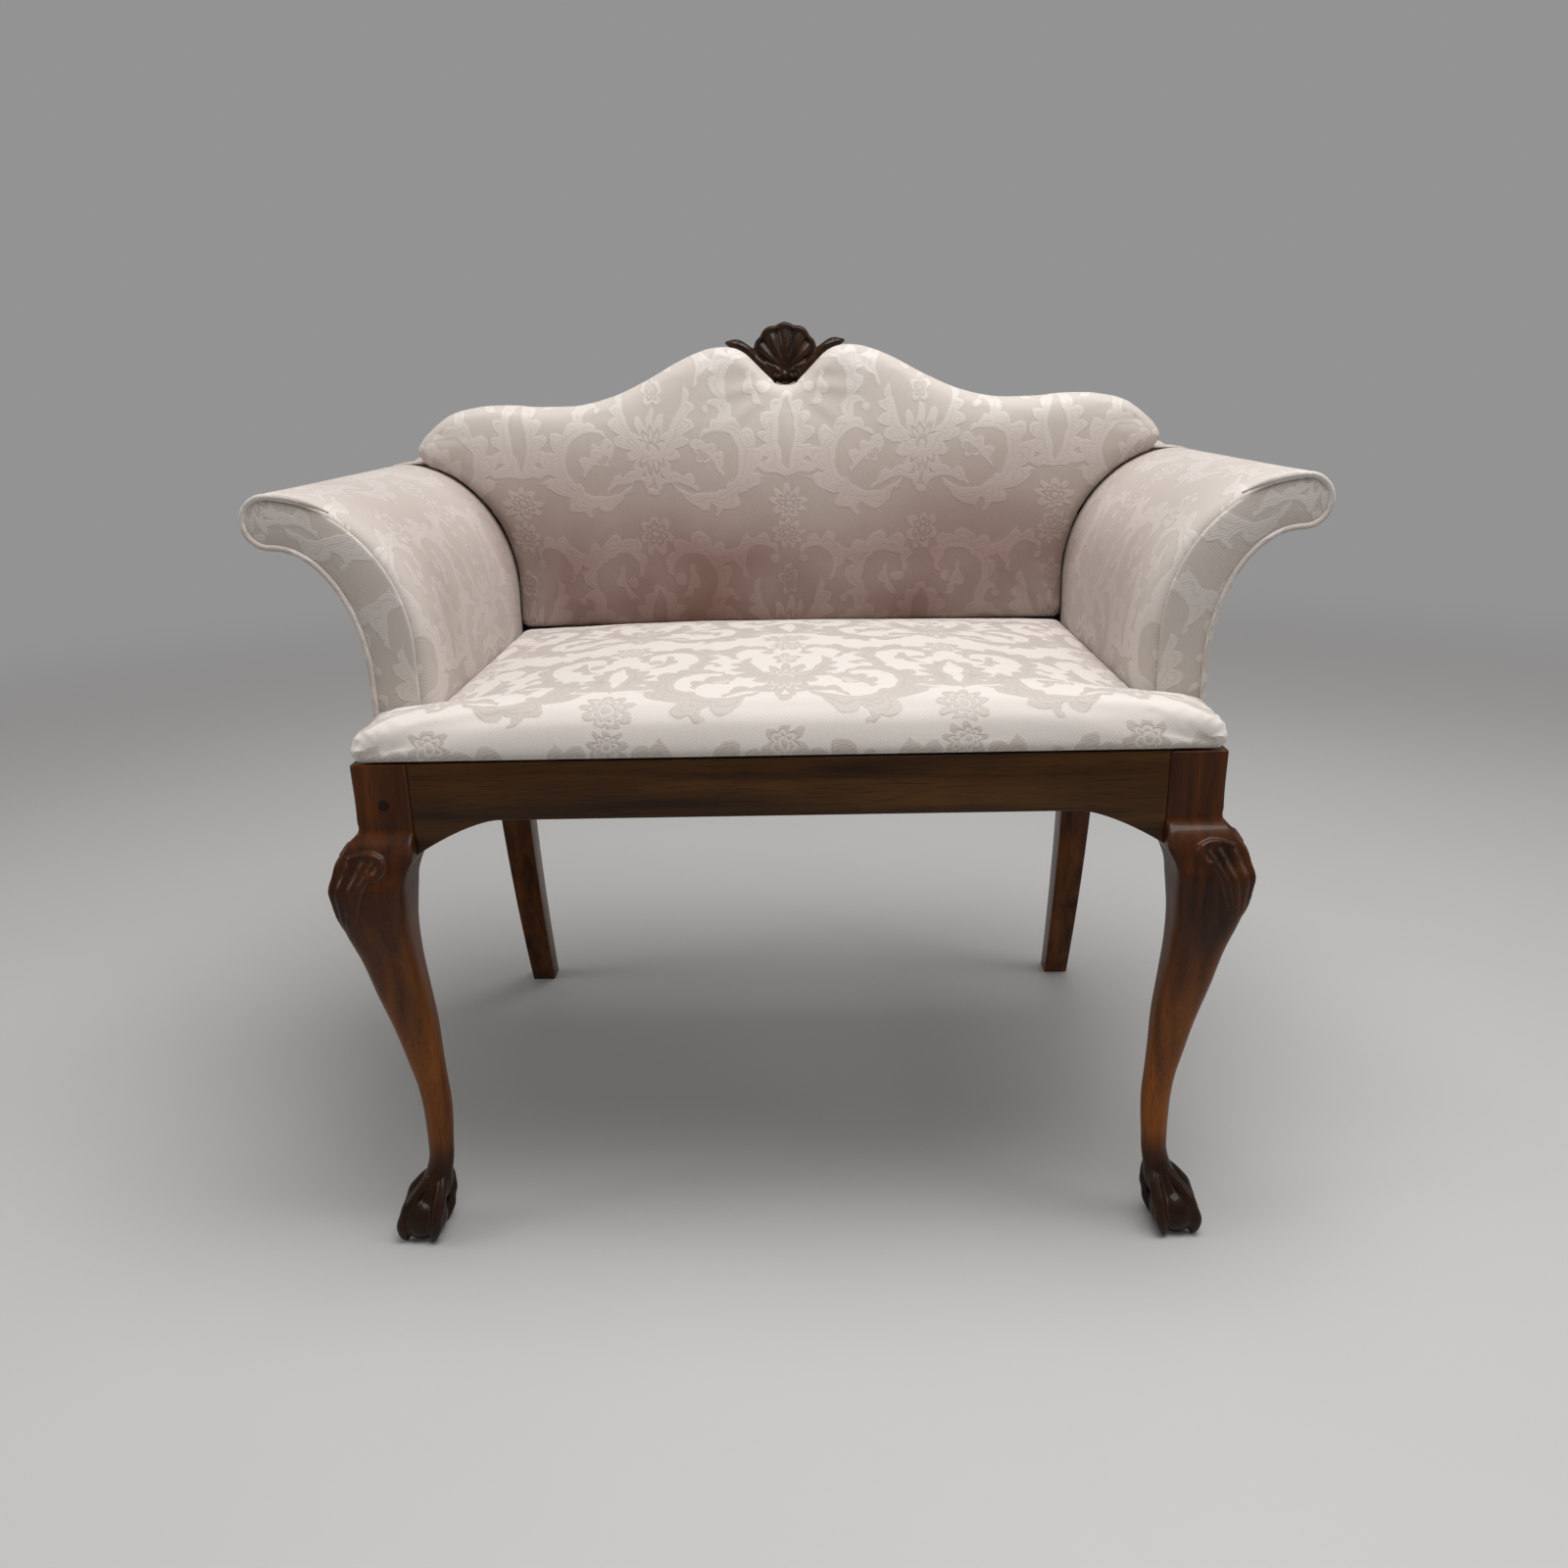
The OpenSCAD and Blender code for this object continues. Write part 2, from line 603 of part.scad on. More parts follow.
module back_top_rail() {
    under_pad = inset(back_outline, rim_t + soft_gap);
    rail_outline = [for (i = [crest_first + 1:crest_last - 1]) under_pad[i]];
    end_x = ear_half - rim_t * 3;
    color(beech) placed() difference() {
        leaned() run_back(post_front, rear_outer)
            polygon(concat(rail_outline, [[-end_x, top_rail_low], [end_x, top_rail_low]]));
        both_sides() stile_tenon(wood_gap);
        leaned() muntin_tenon(top_rail_low - overrun, top_rail_low + stub_len, wood_gap);
    }
}

module back_stay_rail() {
    color(beech) placed() leaned() difference() {
        union() {
            slab([-post_inner, post_front, stay_low], [post_inner, post_front + rail_t, stay_high]);
            both_sides() stay_tenon(0);
        }
        muntin_tenon(stay_high - stub_len, stay_high + overrun, wood_gap);
    }
}

module muntin_tenon(z0, z1, grow) {
    y = post_front + tenon_cheek;
    slab([-stub_w / 2, y, z0], [stub_w / 2, y + tenon_t, z1], grow);
}

module back_muntin() {
    color(beech) placed() leaned() {
        slab([-muntin_w / 2, post_front, stay_high], [muntin_w / 2, post_front + rail_t, top_rail_low]);
        muntin_tenon(stay_high - stub_len, top_rail_low + stub_len, 0);
    }
}

module back_webbing_level() {
    z0 = stay_high + web_inset + web_w / 2;
    z1 = top_rail_low - web_inset - web_w / 2;
    x1 = half_w - web_inset;
    color(jute) placed() leaned() for (z = [z0, z1])
        slab([-x1, post_front - web_t, z - web_w / 2], [x1, post_front, z + web_w / 2]);
}

module back_webbing_upright() {
    x1 = post_inner - web_w;
    y1 = post_front - web_t;
    color(jute) placed() leaned() for (t = steps(web_columns - 3)) translate([mix(-x1, x1, t), 0, 0])
        slab([-web_w / 2, y1 - web_t, stay_low], [web_w / 2, y1, top_rail_low + top_rail_h / 2]);
}

// The wings stand outside the posts, where the arms' rolls meet the back
wing_pad = 1.5;      // cloth over a wing's edge
module back_wing() {
    color(beech) placed() difference() {
        leaned() intersection() {
            run_back(post_front, rear_outer) polygon(concat(
                [[post_inner, arm_top + soft_gap], [post_inner, curl_out_z]],
                reversed(arm_outer_path(core_gap, core_gap)),
                reversed(roll_path(wing_pad))));
            slab([half_w - core_gap, post_front, curl_out_z], [half_w + arm_flare, rear_outer, top_rail_low]);
        }
        translate([roll_x, post_front, roll_z]) rotate([-90, 0, 0])
            cylinder(r = spigot_r + wood_gap, h = stub_len + wood_gap);
    }
}

module outside_back() {
    side = reversed(arm_outer_path(0, 0));
    roll = [for (p = reversed(roll_path(0))) if (p[1] > roll_z || p[0] > roll_x) p];
    right = concat([for (p = side) if (p[1] > rail_top + soft_gap) p],
                   [for (p = roll) if (p[0] > ear_half + rim_t) p], crest_right);
    color(cloth) placed() leaned() run_back(rear_outer + soft_gap, rear_outer + soft_gap + panel_t)
        polygon(concat([[half_w, rail_top + soft_gap]], right,
                       [for (p = flipped(right)) if (p[0] < 0) p], [[-half_w, rail_top + soft_gap]]));
}

// The arms

// The inner surface rises from the seat to the top of the roll, inset by d0 low and d1 high
function arm_inner_path(d0, d1) = concat([[arm_in + d0, pad_bottom]],
    [for (t = steps(arm_steps)) let (d = mix(d0, d1, t))
        [roll_x - (roll_x - arm_in - d) * cos(90 * t), curl_in_z + (arm_top - curl_in_z - d) * sin(90 * t)]]);
// The roll turns from its top round its outer side to its underside
function roll_path(d) = [for (t = steps(arm_steps))
    [roll_x + (roll_r - d) * sin(180 * t), roll_z + (roll_r - d) * cos(180 * t)]];
// The outer surface falls from the roll's underside to the rail, inset by d0 high and d1 low
function arm_outer_path(d0, d1, from = 90) = concat(
    [for (t = steps(arm_steps)) let (d = mix(d0, d1, t), a = from * (1 - t))
        [roll_x - (roll_x - half_w + d) * cos(a), curl_out_z + (roll_z - roll_r - curl_out_z + d) * sin(a)]],
    [[half_w - d1, rail_top + soft_gap]]);

spigot_r = 8;        // radius of the round tenons on an arm's top rail
module arm_core() {
    polygon(distinct(concat([[arm_in + arm_pad_t, rail_top]], arm_inner_path(arm_pad_t, roll_pad_t),
        roll_path(roll_pad_t), arm_outer_path(roll_pad_t, core_gap), [[half_w - core_gap, rail_top]])));
}
module arm_post_tenon(grow) {
    x = side_outer - tenon_cheek;
    y = (arm_core_front + arm_core_back) / 2;
    slab([x - tenon_t, y - stub_w / 2, rail_top - stub_len], [x, y + stub_w / 2, rail_top + overrun], grow);
}

module arm_post() {
    color(beech) placed() difference() {
        union() {
            run_back(arm_core_front, arm_core_back) arm_core();
            arm_post_tenon(0);
        }
        translate([roll_x, arm_core_back - stub_len - wood_gap, roll_z]) rotate([-90, 0, 0])
            cylinder(r = spigot_r + wood_gap, h = stub_len + overrun);
    }
}

// Trims a piece of an arm where it meets the leaning back frame
module trimmed(y) {
    difference() {
        children();
        leaned() slab([0, y, rail_top], [half_w + arm_flare * 2, seat_d * 2, arm_top * 2]);
    }
}

module arm_top_rail() {
    color(beech) placed() {
        trimmed(post_front) translate([roll_x, arm_core_back, roll_z]) rotate([-90, 0, 0])
            cylinder(r = roll_r - roll_pad_t - soft_gap, h = seat_d - arm_core_back);
        translate([roll_x, arm_core_back - stub_len, roll_z]) rotate([-90, 0, 0])
            cylinder(r = spigot_r, h = post_front - arm_core_back + 2 * stub_len);
    }
}

tack_rail_t = 20;
module arm_tack_rail() {
    color(beech) placed() trimmed(post_front)
        slab([post_inner, arm_core_back, stay_low], [post_inner + tack_rail_t, seat_d, stay_high]);
}

function arm_pad_ring(d) = distinct(concat(
    arm_inner_path(d, 0), roll_path(0), reversed(roll_path(roll_pad_t - soft_gap)),
    reversed(arm_inner_path(arm_pad_t - soft_gap, roll_pad_t - soft_gap))));
module arm_pad() {
    color(cloth) placed() loft(concat(
        [for (t = [0, 0.15, 0.4, 0.7, 1]) [for (p = arm_pad_ring(facing_inset * pow(1 - t, 2)))
            [p[0], arm_core_front + round_run * t, p[1]]]],
        [[for (p = arm_pad_ring(0)) [p[0], lean_y(back_face, p[1]), p[1]]]]), thin = true);
}

module arm_facing() {
    d = welt_d + soft_gap;
    color(cloth) placed() run_back(arm_core_front - soft_gap - panel_t, arm_core_front - soft_gap)
        polygon(distinct(concat(arm_inner_path(facing_inset, d), roll_path(d), arm_outer_path(d, d))));
}

module outside_arm() {
    top = acos(soft_gap / (roll_x - half_w));
    color(cloth) placed() trimmed(rear_outer) run_back(arm_core_front, seat_d * 2)
        polygon(concat(arm_outer_path(0, 0, top), reversed(arm_outer_path(panel_t, panel_t, top))));
}

// The welt runs up an arm's outer edge, round the roll and over its top
module arm_welt() {
    r = welt_d / 2;
    path = distinct(concat(reversed(arm_outer_path(r, r)), reversed(roll_path(r)),
                           [for (p = reversed(arm_inner_path(r, r))) if (p[0] > roll_x - arm_t) p]));
    last = len(path) - 1;
    color(cloth) placed() loft([for (i = [0:last])
        let (t = path[min(i + 1, last)] - path[max(i - 1, 0)], n = [-t[1], t[0]] / norm(t))
        [for (a = [0:45:315]) let (q = path[i] + r * cos(a) * n)
            [q[0], arm_setback + r - r * sin(a), q[1]]]]);
}

// The carved shell, with a scroll at each side of its foot and a leaf beyond each scroll

dip_z = rail_top + crest_shares[0][1] * back_h;
carving_y = post_front + stile_t * 0.4;
shell_foot_z = dip_z + shell_h * 0.2;
// The shell's radius about its foot at each angle from upright, as a share of its height
shell_shares = [[0, 0.8], [30, 0.76], [55, 0.65], [70, 0.53], [82, 0.4], [100, 0.3], [120, 0.25]];
shell_spread = 118;  // how far the shell fans to each side, in degrees
rib_steps = 4;

// A slice through the shell along one angle: out along its ribbed face and in along its back
function shell_slice(turn) =
    let (phase = abs(sin(180 * shell_ribs * (turn + shell_spread) / (2 * shell_spread))),
         rim = shell_h * row_at(shell_shares, abs(turn))[1] * (0.95 + 0.05 * phase),
         face = [for (s = [0.15, 0.35, 0.55, 0.72, 0.86, 0.95, 1])
            [s, shell_t * (0.75 + 0.25 * s) * (s == 1 ? 0.55 : 1) + rib_h * sqrt(phase) * sin(160 * s)]])
    [for (p = reversed(concat(face, [[1, 0], [0.15, 0]])))
        [p[0] * rim * sin(turn), carving_y - p[1], shell_foot_z + p[0] * rim * cos(turn)]];

module scroll() {
    turns = [for (t = steps(10)) [mix(1, 0.25, t) * shell_h * 0.11, 400 * t - 90]];
    middle = [shell_h * 0.2, shell_foot_z + shell_h * 0.06];
    for (i = [0:9]) hull() for (s = [turns[i], turns[i + 1]])
        translate([middle[0] + s[0] * cos(s[1]), carving_y, middle[1] + s[0] * sin(s[1])])
            rotate([90, 0, 0])
                cylinder(r = shell_h * 0.035, h = shell_t + rib_h * mix(0.4, 1, i / 9), $fn = 8);
}

// A leaf that lies along the crest: place along the outline and thickness, as shares
leaf_shares = [
    [0.24, 0.9], [0.36, 1.3], [0.46, 1], [0.58, 1.35], [0.68, 1], [0.8, 1.15], [0.9, 0.8], [1, 0.45]
];
leaf_thick = shell_h * 0.065;
function crest_point(x) = let (rows = reversed(crest_right)) row_at(rows, x);
function leaf_point(s) =
    let (x = s[0] * leaf_half, t = crest_point(x + leaf_thick) - crest_point(x - leaf_thick))
    crest_point(x) + (s[1] * leaf_thick + 3 * soft_gap) * [-t[1], t[0]] / norm(t);
module leaf() {
    for (i = [0:len(leaf_shares) - 2]) hull() for (s = [leaf_shares[i], leaf_shares[i + 1]])
        translate([leaf_point(s)[0], carving_y - shell_t / 2, leaf_point(s)[1]])
            scale([1, 1.5, 1]) sphere(r = s[1] * leaf_thick, $fn = 10);
}

module crest_carving() {
    rail_z = dip_z - rim_t - soft_gap;
    color(mahogany) placed() leaned() {
        loft([for (i = [-shell_ribs * rib_steps / 2:shell_ribs * rib_steps / 2])
            shell_slice(2 * shell_spread * i / (shell_ribs * rib_steps))]);
        both_sides() {
            scroll();
            leaf();
        }
        slab([-shell_seat_half, carving_y - shell_t, rail_z],
             [shell_seat_half, carving_y, shell_foot_z + shell_t]);
    }
}

front_rail();
side_rail();  // right_side_rail
mirrored() side_rail();  // left_side_rail
rear_rail();
front_leg();  // right_front_leg
mirrored() front_leg();  // left_front_leg
rear_post();  // right_rear_post
mirrored() rear_post();  // left_rear_post
corner_blocks();
corner_block_screws();
seat_webbing_lengthwise();
seat_webbing_crosswise();
seat_hessian();
seat_cushion();
back_top_rail();
back_stay_rail();
back_muntin();
back_wing();  // right_back_wing
mirrored() back_wing();  // left_back_wing
back_webbing_level();
back_webbing_upright();
back_cushion();
outside_back();
arm_post();  // right_arm_post
mirrored() arm_post();  // left_arm_post
arm_top_rail();  // right_arm_top_rail
mirrored() arm_top_rail();  // left_arm_top_rail
arm_tack_rail();  // right_arm_tack_rail
mirrored() arm_tack_rail();  // left_arm_tack_rail
arm_pad();  // right_arm_pad
mirrored() arm_pad();  // left_arm_pad
arm_facing();  // right_arm_facing
mirrored() arm_facing();  // left_arm_facing
outside_arm();  // right_outside_arm
mirrored() outside_arm();  // left_outside_arm
arm_welt();  // right_arm_welt
mirrored() arm_welt();  // left_arm_welt
crest_carving();
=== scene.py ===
"""Dresses a small camel-back settee: carved and polished mahogany round a damask-covered frame."""
import math
from types import SimpleNamespace

import bpy
import numpy as np
from bpy.props import FloatProperty, FloatVectorProperty, IntProperty, PointerProperty
from bpy.types import Operator, Panel, PropertyGroup
from mathutils import Matrix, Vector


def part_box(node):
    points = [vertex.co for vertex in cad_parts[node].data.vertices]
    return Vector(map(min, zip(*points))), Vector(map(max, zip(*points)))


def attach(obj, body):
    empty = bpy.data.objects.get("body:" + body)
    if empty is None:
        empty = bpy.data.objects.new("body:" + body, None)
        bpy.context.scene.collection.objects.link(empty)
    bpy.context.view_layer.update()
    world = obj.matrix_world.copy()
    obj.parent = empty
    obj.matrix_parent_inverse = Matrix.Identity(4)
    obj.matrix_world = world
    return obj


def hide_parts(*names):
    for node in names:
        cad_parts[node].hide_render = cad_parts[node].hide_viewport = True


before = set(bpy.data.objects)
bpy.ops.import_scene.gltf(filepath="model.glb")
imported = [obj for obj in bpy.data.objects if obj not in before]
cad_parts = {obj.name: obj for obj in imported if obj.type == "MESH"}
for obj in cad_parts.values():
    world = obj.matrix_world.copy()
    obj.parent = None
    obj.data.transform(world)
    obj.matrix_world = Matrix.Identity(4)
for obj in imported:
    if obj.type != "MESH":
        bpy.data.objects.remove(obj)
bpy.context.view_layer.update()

bl_info = {
    "name": "Camel-back settee",
    "version": (1, 0, 0),
    "blender": (4, 5, 0),
    "location": "3D View > Sidebar > Settee",
    "description": "Dresses the settee's frame in mahogany and damask",
    "category": "Object",
}


# Colours and sizes that a user would change

def from_hex(code):
    """Turns an sRGB hex colour into linear red, green, blue and alpha."""
    parts = [int(code[i:i + 2], 16) / 255 for i in (1, 3, 5)]
    return [p / 12.92 if p <= 0.04045 else ((p + 0.055) / 1.055) ** 2.4 for p in parts] + [1]


def size(name, description, default):
    """A length in metres that a user may change."""
    return FloatProperty(name=name, description=description, default=default, unit="LENGTH",
                         precision=4, min=0)


def colour(name, description, code):
    """A colour that a user may change, written as an sRGB hex value."""
    return FloatVectorProperty(name=name, description=description, default=from_hex(code),
                               subtype="COLOR", size=4, min=0, max=1)


# From the leg blocks' faces to the rails' faces, in metres
RAIL_SETBACK = 0.0015


class SetteeSizes(PropertyGroup):
    """Sizes in metres, the same as those that the frame was built with."""
    rail_top: size("Rail top", "Height of the seat rails' tops", 0.430)
    seat_w: size("Seat width", "Width across the front leg blocks", 0.670)
    seat_d: size("Seat depth", "Depth from the leg blocks to the back of the posts", 0.446)
    rail_h: size("Rail height", "Height of the front rail at its middle", 0.047)
    rail_drop: size("Rail drop", "How far the rail's ends drop", 0.028)
    drop_run: size("Drop run", "Length of each drop's curve", 0.066)
    rail_t: size("Rail thickness", "Thickness of a seat rail", 0.022)
    setback: size("Setback", "From the leg blocks' faces to the rails' faces", RAIL_SETBACK)
    block_w: size("Block width", "Width of the front leg's block", 0.044)
    knee_w: size("Knee width", "Width of the knee", 0.058)
    knee_shift: size("Knee shift", "How far the knee stands out, each way", 0.015)
    ball_r: size("Ball radius", "Radius of the ball in each foot", 0.020)
    talon_t: size("Talon thickness", "Thickness of a talon at its knuckles", 0.011)
    claw_h: size("Claw height", "Height at which the talons leave the ankle", 0.047)
    post_w: size("Post width", "Width of a rear post at the seat", 0.036)
    post_foot_w: size("Post foot", "Width of a rear post at the floor", 0.027)
    foot_kick: size("Foot kick", "How far the rear foot kicks back", 0.080)
    stile_t: size("Stile thickness", "Thickness of the back frame", 0.028)
    lean: FloatProperty(name="Lean", description="Angle of the back from upright", unit="ROTATION",
                        default=math.radians(3.5))
    back_h: size("Back height", "Height of the humps above the rails", 0.307)
    ear_half: size("Ear", "Half width of the back at its ears", 0.382)
    back_pad_t: size("Back padding", "Thickness of the padding in front of the back frame", 0.014)
    back_crown: size("Back crown", "How far the back's middle swells forward", 0.010)
    rim_t: size("Rim", "Thickness of the padding over the back frame", 0.009)
    arm_setback: size("Arm setback", "From the leg blocks' faces to the arms", 0.066)
    arm_t: size("Arm thickness", "Thickness of an arm at the seat", 0.050)
    arm_flare: size("Arm flare", "How far an arm's roll reaches out", 0.086)
    arm_h: size("Arm height", "Height of an arm above the rails", 0.199)
    roll_r: size("Roll radius", "Radius of the arm's roll", 0.022)
    welt_d: size("Welt", "Diameter of the welt", 0.005)
    seat_edge_h: size("Seat edge", "Height of the seat's edge above the rails", 0.028)
    seat_crown: size("Seat crown", "How far the seat swells above its edge", 0.020)
    shell_h: size("Shell height", "Height of the carved shell", 0.059)
    leaf_half: size("Leaf reach", "Half width of the leaves beside the shell", 0.061)
    shell_ribs: IntProperty(name="Shell ribs", description="Ribs on the shell", default=9, min=5)
    repeat_w: size("Damask width", "Width of the damask's repeat", 0.272)
    repeat_h: size("Damask height", "Height of the damask's repeat", 0.380)


class SetteeColours(PropertyGroup):
    """The colours of the woods and the cloths."""
    wood_dark: colour("Mahogany, dark", "The dark of the polished mahogany", "#200c04")
    wood_light: colour("Mahogany, light", "The light of the polished mahogany", "#69370c")
    rail_dark: colour("Rails, dark", "The dark of the rails", "#241307")
    rail_light: colour("Rails, light", "The light of the rails", "#5f3c12")
    post_light: colour("Rear posts, light", "The light of the rear posts", "#7f481a")
    shin: colour("Shins", "The worn shins of the front legs", "#8a4d0f")
    wax: colour("Wax", "Old wax in the carving", "#8a8577")
    # Painted sheen: the damask's one ivory is given as a dull and a bright tone, for the satin's shine
    ground: colour("Damask, dull", "The threads of the damask that look dull", "#c4bab1")
    figure: colour("Damask, bright", "The threads of the damask that look bright", "#dcd4cd")
    # Painted shade: the darker, pinker colour that the covers are multiplied by low down
    low_pink_shade: colour("Blush", "The pinker tint low on the covers", "#91695d")
    crest_dark: colour("Crest, dark", "The dark of the carved shell", "#170c05")
    crest_light: colour("Crest, light", "The light of the carved shell", "#3f2410")
    beech: colour("Beech", "The hidden frame", "#b58b5c")
    jute: colour("Jute", "Webbing and hessian", "#a58a5e")
    floor: colour("Floor", "The pale floor", "#c4c3c1")


def plan():
    """Every size, with the planes and radii that follow from them, in metres."""
    g = bpy.context.scene.settee_sizes
    s = SimpleNamespace(**{k: getattr(g, k) for k in SetteeSizes.__annotations__})
    s.half_w = s.seat_w / 2
    s.block_half = s.block_w / 2
    s.block_x = s.half_w - s.block_half
    s.block_inner = s.half_w - s.block_w
    s.post_inner = s.half_w - s.post_w
    s.post_front = s.seat_d - s.post_w
    s.rear_outer = s.post_front + s.stile_t
    s.rail_low = s.rail_top - s.rail_h
    s.arm_in = s.half_w - s.arm_t
    s.arm_top = s.rail_top + s.arm_h
    s.roll_x = s.half_w + s.arm_flare - s.roll_r
    s.roll_z = s.arm_top - s.roll_r
    s.curl_in_z = s.rail_top + 0.35 * s.arm_h
    s.curl_out_z = s.rail_top + 0.25 * s.arm_h
    # The gap between neighbours, and how thick a wadded cover, webbing and hessian are
    s.gap, s.panel, webbing, hessian = 0.0003, 0.0024, 0.0012, 0.0008
    s.pad_low = s.rail_top + 2 * webbing + hessian + s.gap
    s.back_face = s.post_front - 2 * webbing - s.gap
    s.arm_front = s.arm_setback + s.welt_d + s.gap
    s.seat_edge = s.rail_top + s.seat_edge_h
    s.back_low = s.seat_edge + s.gap
    s.dip_z = s.rail_top + CREST[0][1] * s.back_h
    s.carving_y = s.post_front + 0.4 * s.stile_t
    s.shell_z = s.dip_z + 0.2 * s.shell_h
    return s


# The crest from its middle to an ear: shares of the back's half width and of its height
CREST = np.array([
    [0, .884], [.03, .892], [.036, .896], [.07, .935], [.11, .982], [.154, 1], [.2, .995],
    [.27, .965], [.37, .9], [.46, .852], [.54, .828], [.64, .824], [.76, .832], [.85, .823],
    [.91, .799], [.955, .756], [.99, .71], [1, .684]])

# A front leg: share of its height, of the knee's shift and of half the knee's width, roundness
LEG = np.array([
    [.07, .5, .52, 1], [.09, .2, .5, 1], [.12, -.06, .41, 1], [.15, -.25, .37, 1],
    [.19, -.32, .37, .95], [.23, -.36, .39, .9], [.28, -.36, .41, .85], [.32, -.29, .42, .8],
    [.38, -.13, .48, .75], [.46, .09, .58, .7], [.54, .41, .67, .65], [.62, .7, .75, .6],
    [.69, .95, .88, .5], [.72, 1, .94, .45], [.75, 1, .98, .4], [.78, .97, 1, .3],
    [.805, .73, .98, .15]])

# From the knee's outer corner to the middle of a face, along the surface
KNEE_FACE = 0.026

# The shell's rim: degrees from its top, and reach as a share of its height
SHELL = np.array([
    [0, .8], [30, .765], [55, .66], [72, .53], [90, .39], [110, .3], [140, .25], [180, .235]])

# The hooked scroll on each face of the knee: distance from its outer corner, and height
HOOK = np.array([[.006, .358], [.014, .3605], [.023, .3605], [.031, .3575], [.0345, .351],
                 [.032, .345], [.0265, .3435], [.0245, .348]])

# A talon: reach as a share of the ball's radius, height of the claw's, thickness of the knuckles'
TALON = np.array([
    [.28, 1.12, .8], [.62, .96, .92], [.86, .8, .98], [.99, .66, 1.12], [1.1, .5, .9],
    [1.13, .34, .98], [1.06, .17, .74], [.94, .06, .5], [.84, .02, .22]])


# Shapes worked out with numpy, in metres, with y counted from the leg blocks' faces

FACE_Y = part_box("front_rail")[0][1] - RAIL_SETBACK


def mix(a, b, t):
    """What lies a share t of the way from a to b."""
    return a + (b - a) * t


def ease(low, high, x):
    """0 below low, 1 above high, and a smooth cubic between them."""
    t = np.clip((x - low) / (high - low), 0, 1)
    return t * t * (3 - 2 * t)


def eased_row(rows, at):
    """Cubic Hermite curves through a table, whose slopes come from each row's neighbours."""
    keys, values = rows[:, 0], rows[:, 1:]
    slope = np.gradient(values, keys, axis=0)
    k = np.clip(np.searchsorted(keys, at, side="right") - 1, 0, len(keys) - 2)
    h = (keys[k + 1] - keys[k])[:, None]
    t = np.clip((at[:, None] - keys[k][:, None]) / h, 0, 1)
    return ((2 * t**3 - 3 * t**2 + 1) * values[k] + (t**3 - 2 * t**2 + t) * h * slope[k]
            + (3 * t**2 - 2 * t**3) * values[k + 1] + (t**3 - t**2) * h * slope[k + 1])


def paced(path, step=None, count=None, closed=False):
    """The same path with its points evenly spaced along its length."""
    path = np.vstack([path, path[:1]]) if closed else np.asarray(path, float)
    run = np.r_[0, np.cumsum(np.linalg.norm(np.diff(path, axis=0), axis=1))]
    keep = np.r_[True, np.diff(run) > 1e-9]
    path, run = path[keep], run[keep]
    count = count or max(3, int(run[-1] / step) + 1)
    at = np.linspace(0, run[-1], count + closed)[:count]
    return np.stack([np.interp(at, run, path[:, i]) for i in range(path.shape[1])], axis=1)


def lengths(path):
    """The distance along a path to each of its points."""
    return np.r_[0, np.cumsum(np.linalg.norm(np.diff(path, axis=0), axis=1))]


def outward(path, closed=False):
    """Unit normals on the right-hand side of a path drawn in a plane."""
    if closed:
        t = np.roll(path, -1, 0) - np.roll(path, 1, 0)
    else:
        t = np.gradient(path, axis=0)
    t = t / np.maximum(np.linalg.norm(t, axis=1, keepdims=True), 1e-12)
    return np.stack([t[:, 1], -t[:, 0]], axis=1)


def skin(rings, thin=False):
    """A surface through closed rings. Each end is drawn in to its middle or, on a thin bent
    section, closed by a strip between the ring's first half and its second."""
    rings = np.asarray(rings, float)
    m, n = rings.shape[:2]
    index = np.arange(m * n).reshape(m, n)
    a, b = index[:-1], index[1:]
    quads = np.stack([a, np.roll(a, -1, 1), np.roll(b, -1, 1), b], axis=-1).reshape(-1, 4)
    if thin:
        near, far = index[:, :n // 2], index[:, :n // 2 - 1:-1]
        strip = np.stack([near[:, 1:], near[:, :-1], far[:, :-1], far[:, 1:]], axis=-1)
        quads = np.vstack([quads, strip[0], strip[-1][:, ::-1]])
        return rings.reshape(-1, 3), quads, np.zeros((0, 3), int)
    points = np.vstack([rings.reshape(-1, 3), rings[0].mean(0), rings[-1].mean(0)])
    first, last = index[0], index[-1]
    tris = np.vstack([
        np.stack([np.roll(first, -1), first, np.full(n, m * n)], axis=1),
        np.stack([last, np.roll(last, -1), np.full(n, m * n + 1)], axis=1)])
    return points, quads, tris


def joined(*shapes):
    """Several shapes as one."""
    start = np.cumsum([0] + [len(s[0]) for s in shapes])
    return (np.vstack([s[0] for s in shapes]),
            np.vstack([s[1] + k for s, k in zip(shapes, start)]),
            np.vstack([s[2] + k for s, k in zip(shapes, start)]))


def tube(path, radius, flat, sides=16, squash=1.0):
    """A round section carried along a path that lies square to the direction flat."""
    path, radius = np.asarray(path, float), np.broadcast_to(radius, len(path))
    t = np.gradient(path, axis=0)
    t /= np.linalg.norm(t, axis=1, keepdims=True)
    up = np.broadcast_to(np.asarray(flat, float), t.shape)
    side = np.cross(t, up)
    side /= np.linalg.norm(side, axis=1, keepdims=True)
    up = np.cross(side, t)
    a = np.linspace(0, 2 * np.pi, sides, endpoint=False)
    rings = path[:, None] + radius[:, None, None] * (
        np.cos(a)[None, :, None] * side[:, None] + squash * np.sin(a)[None, :, None] * up[:, None])
    return skin(rings)


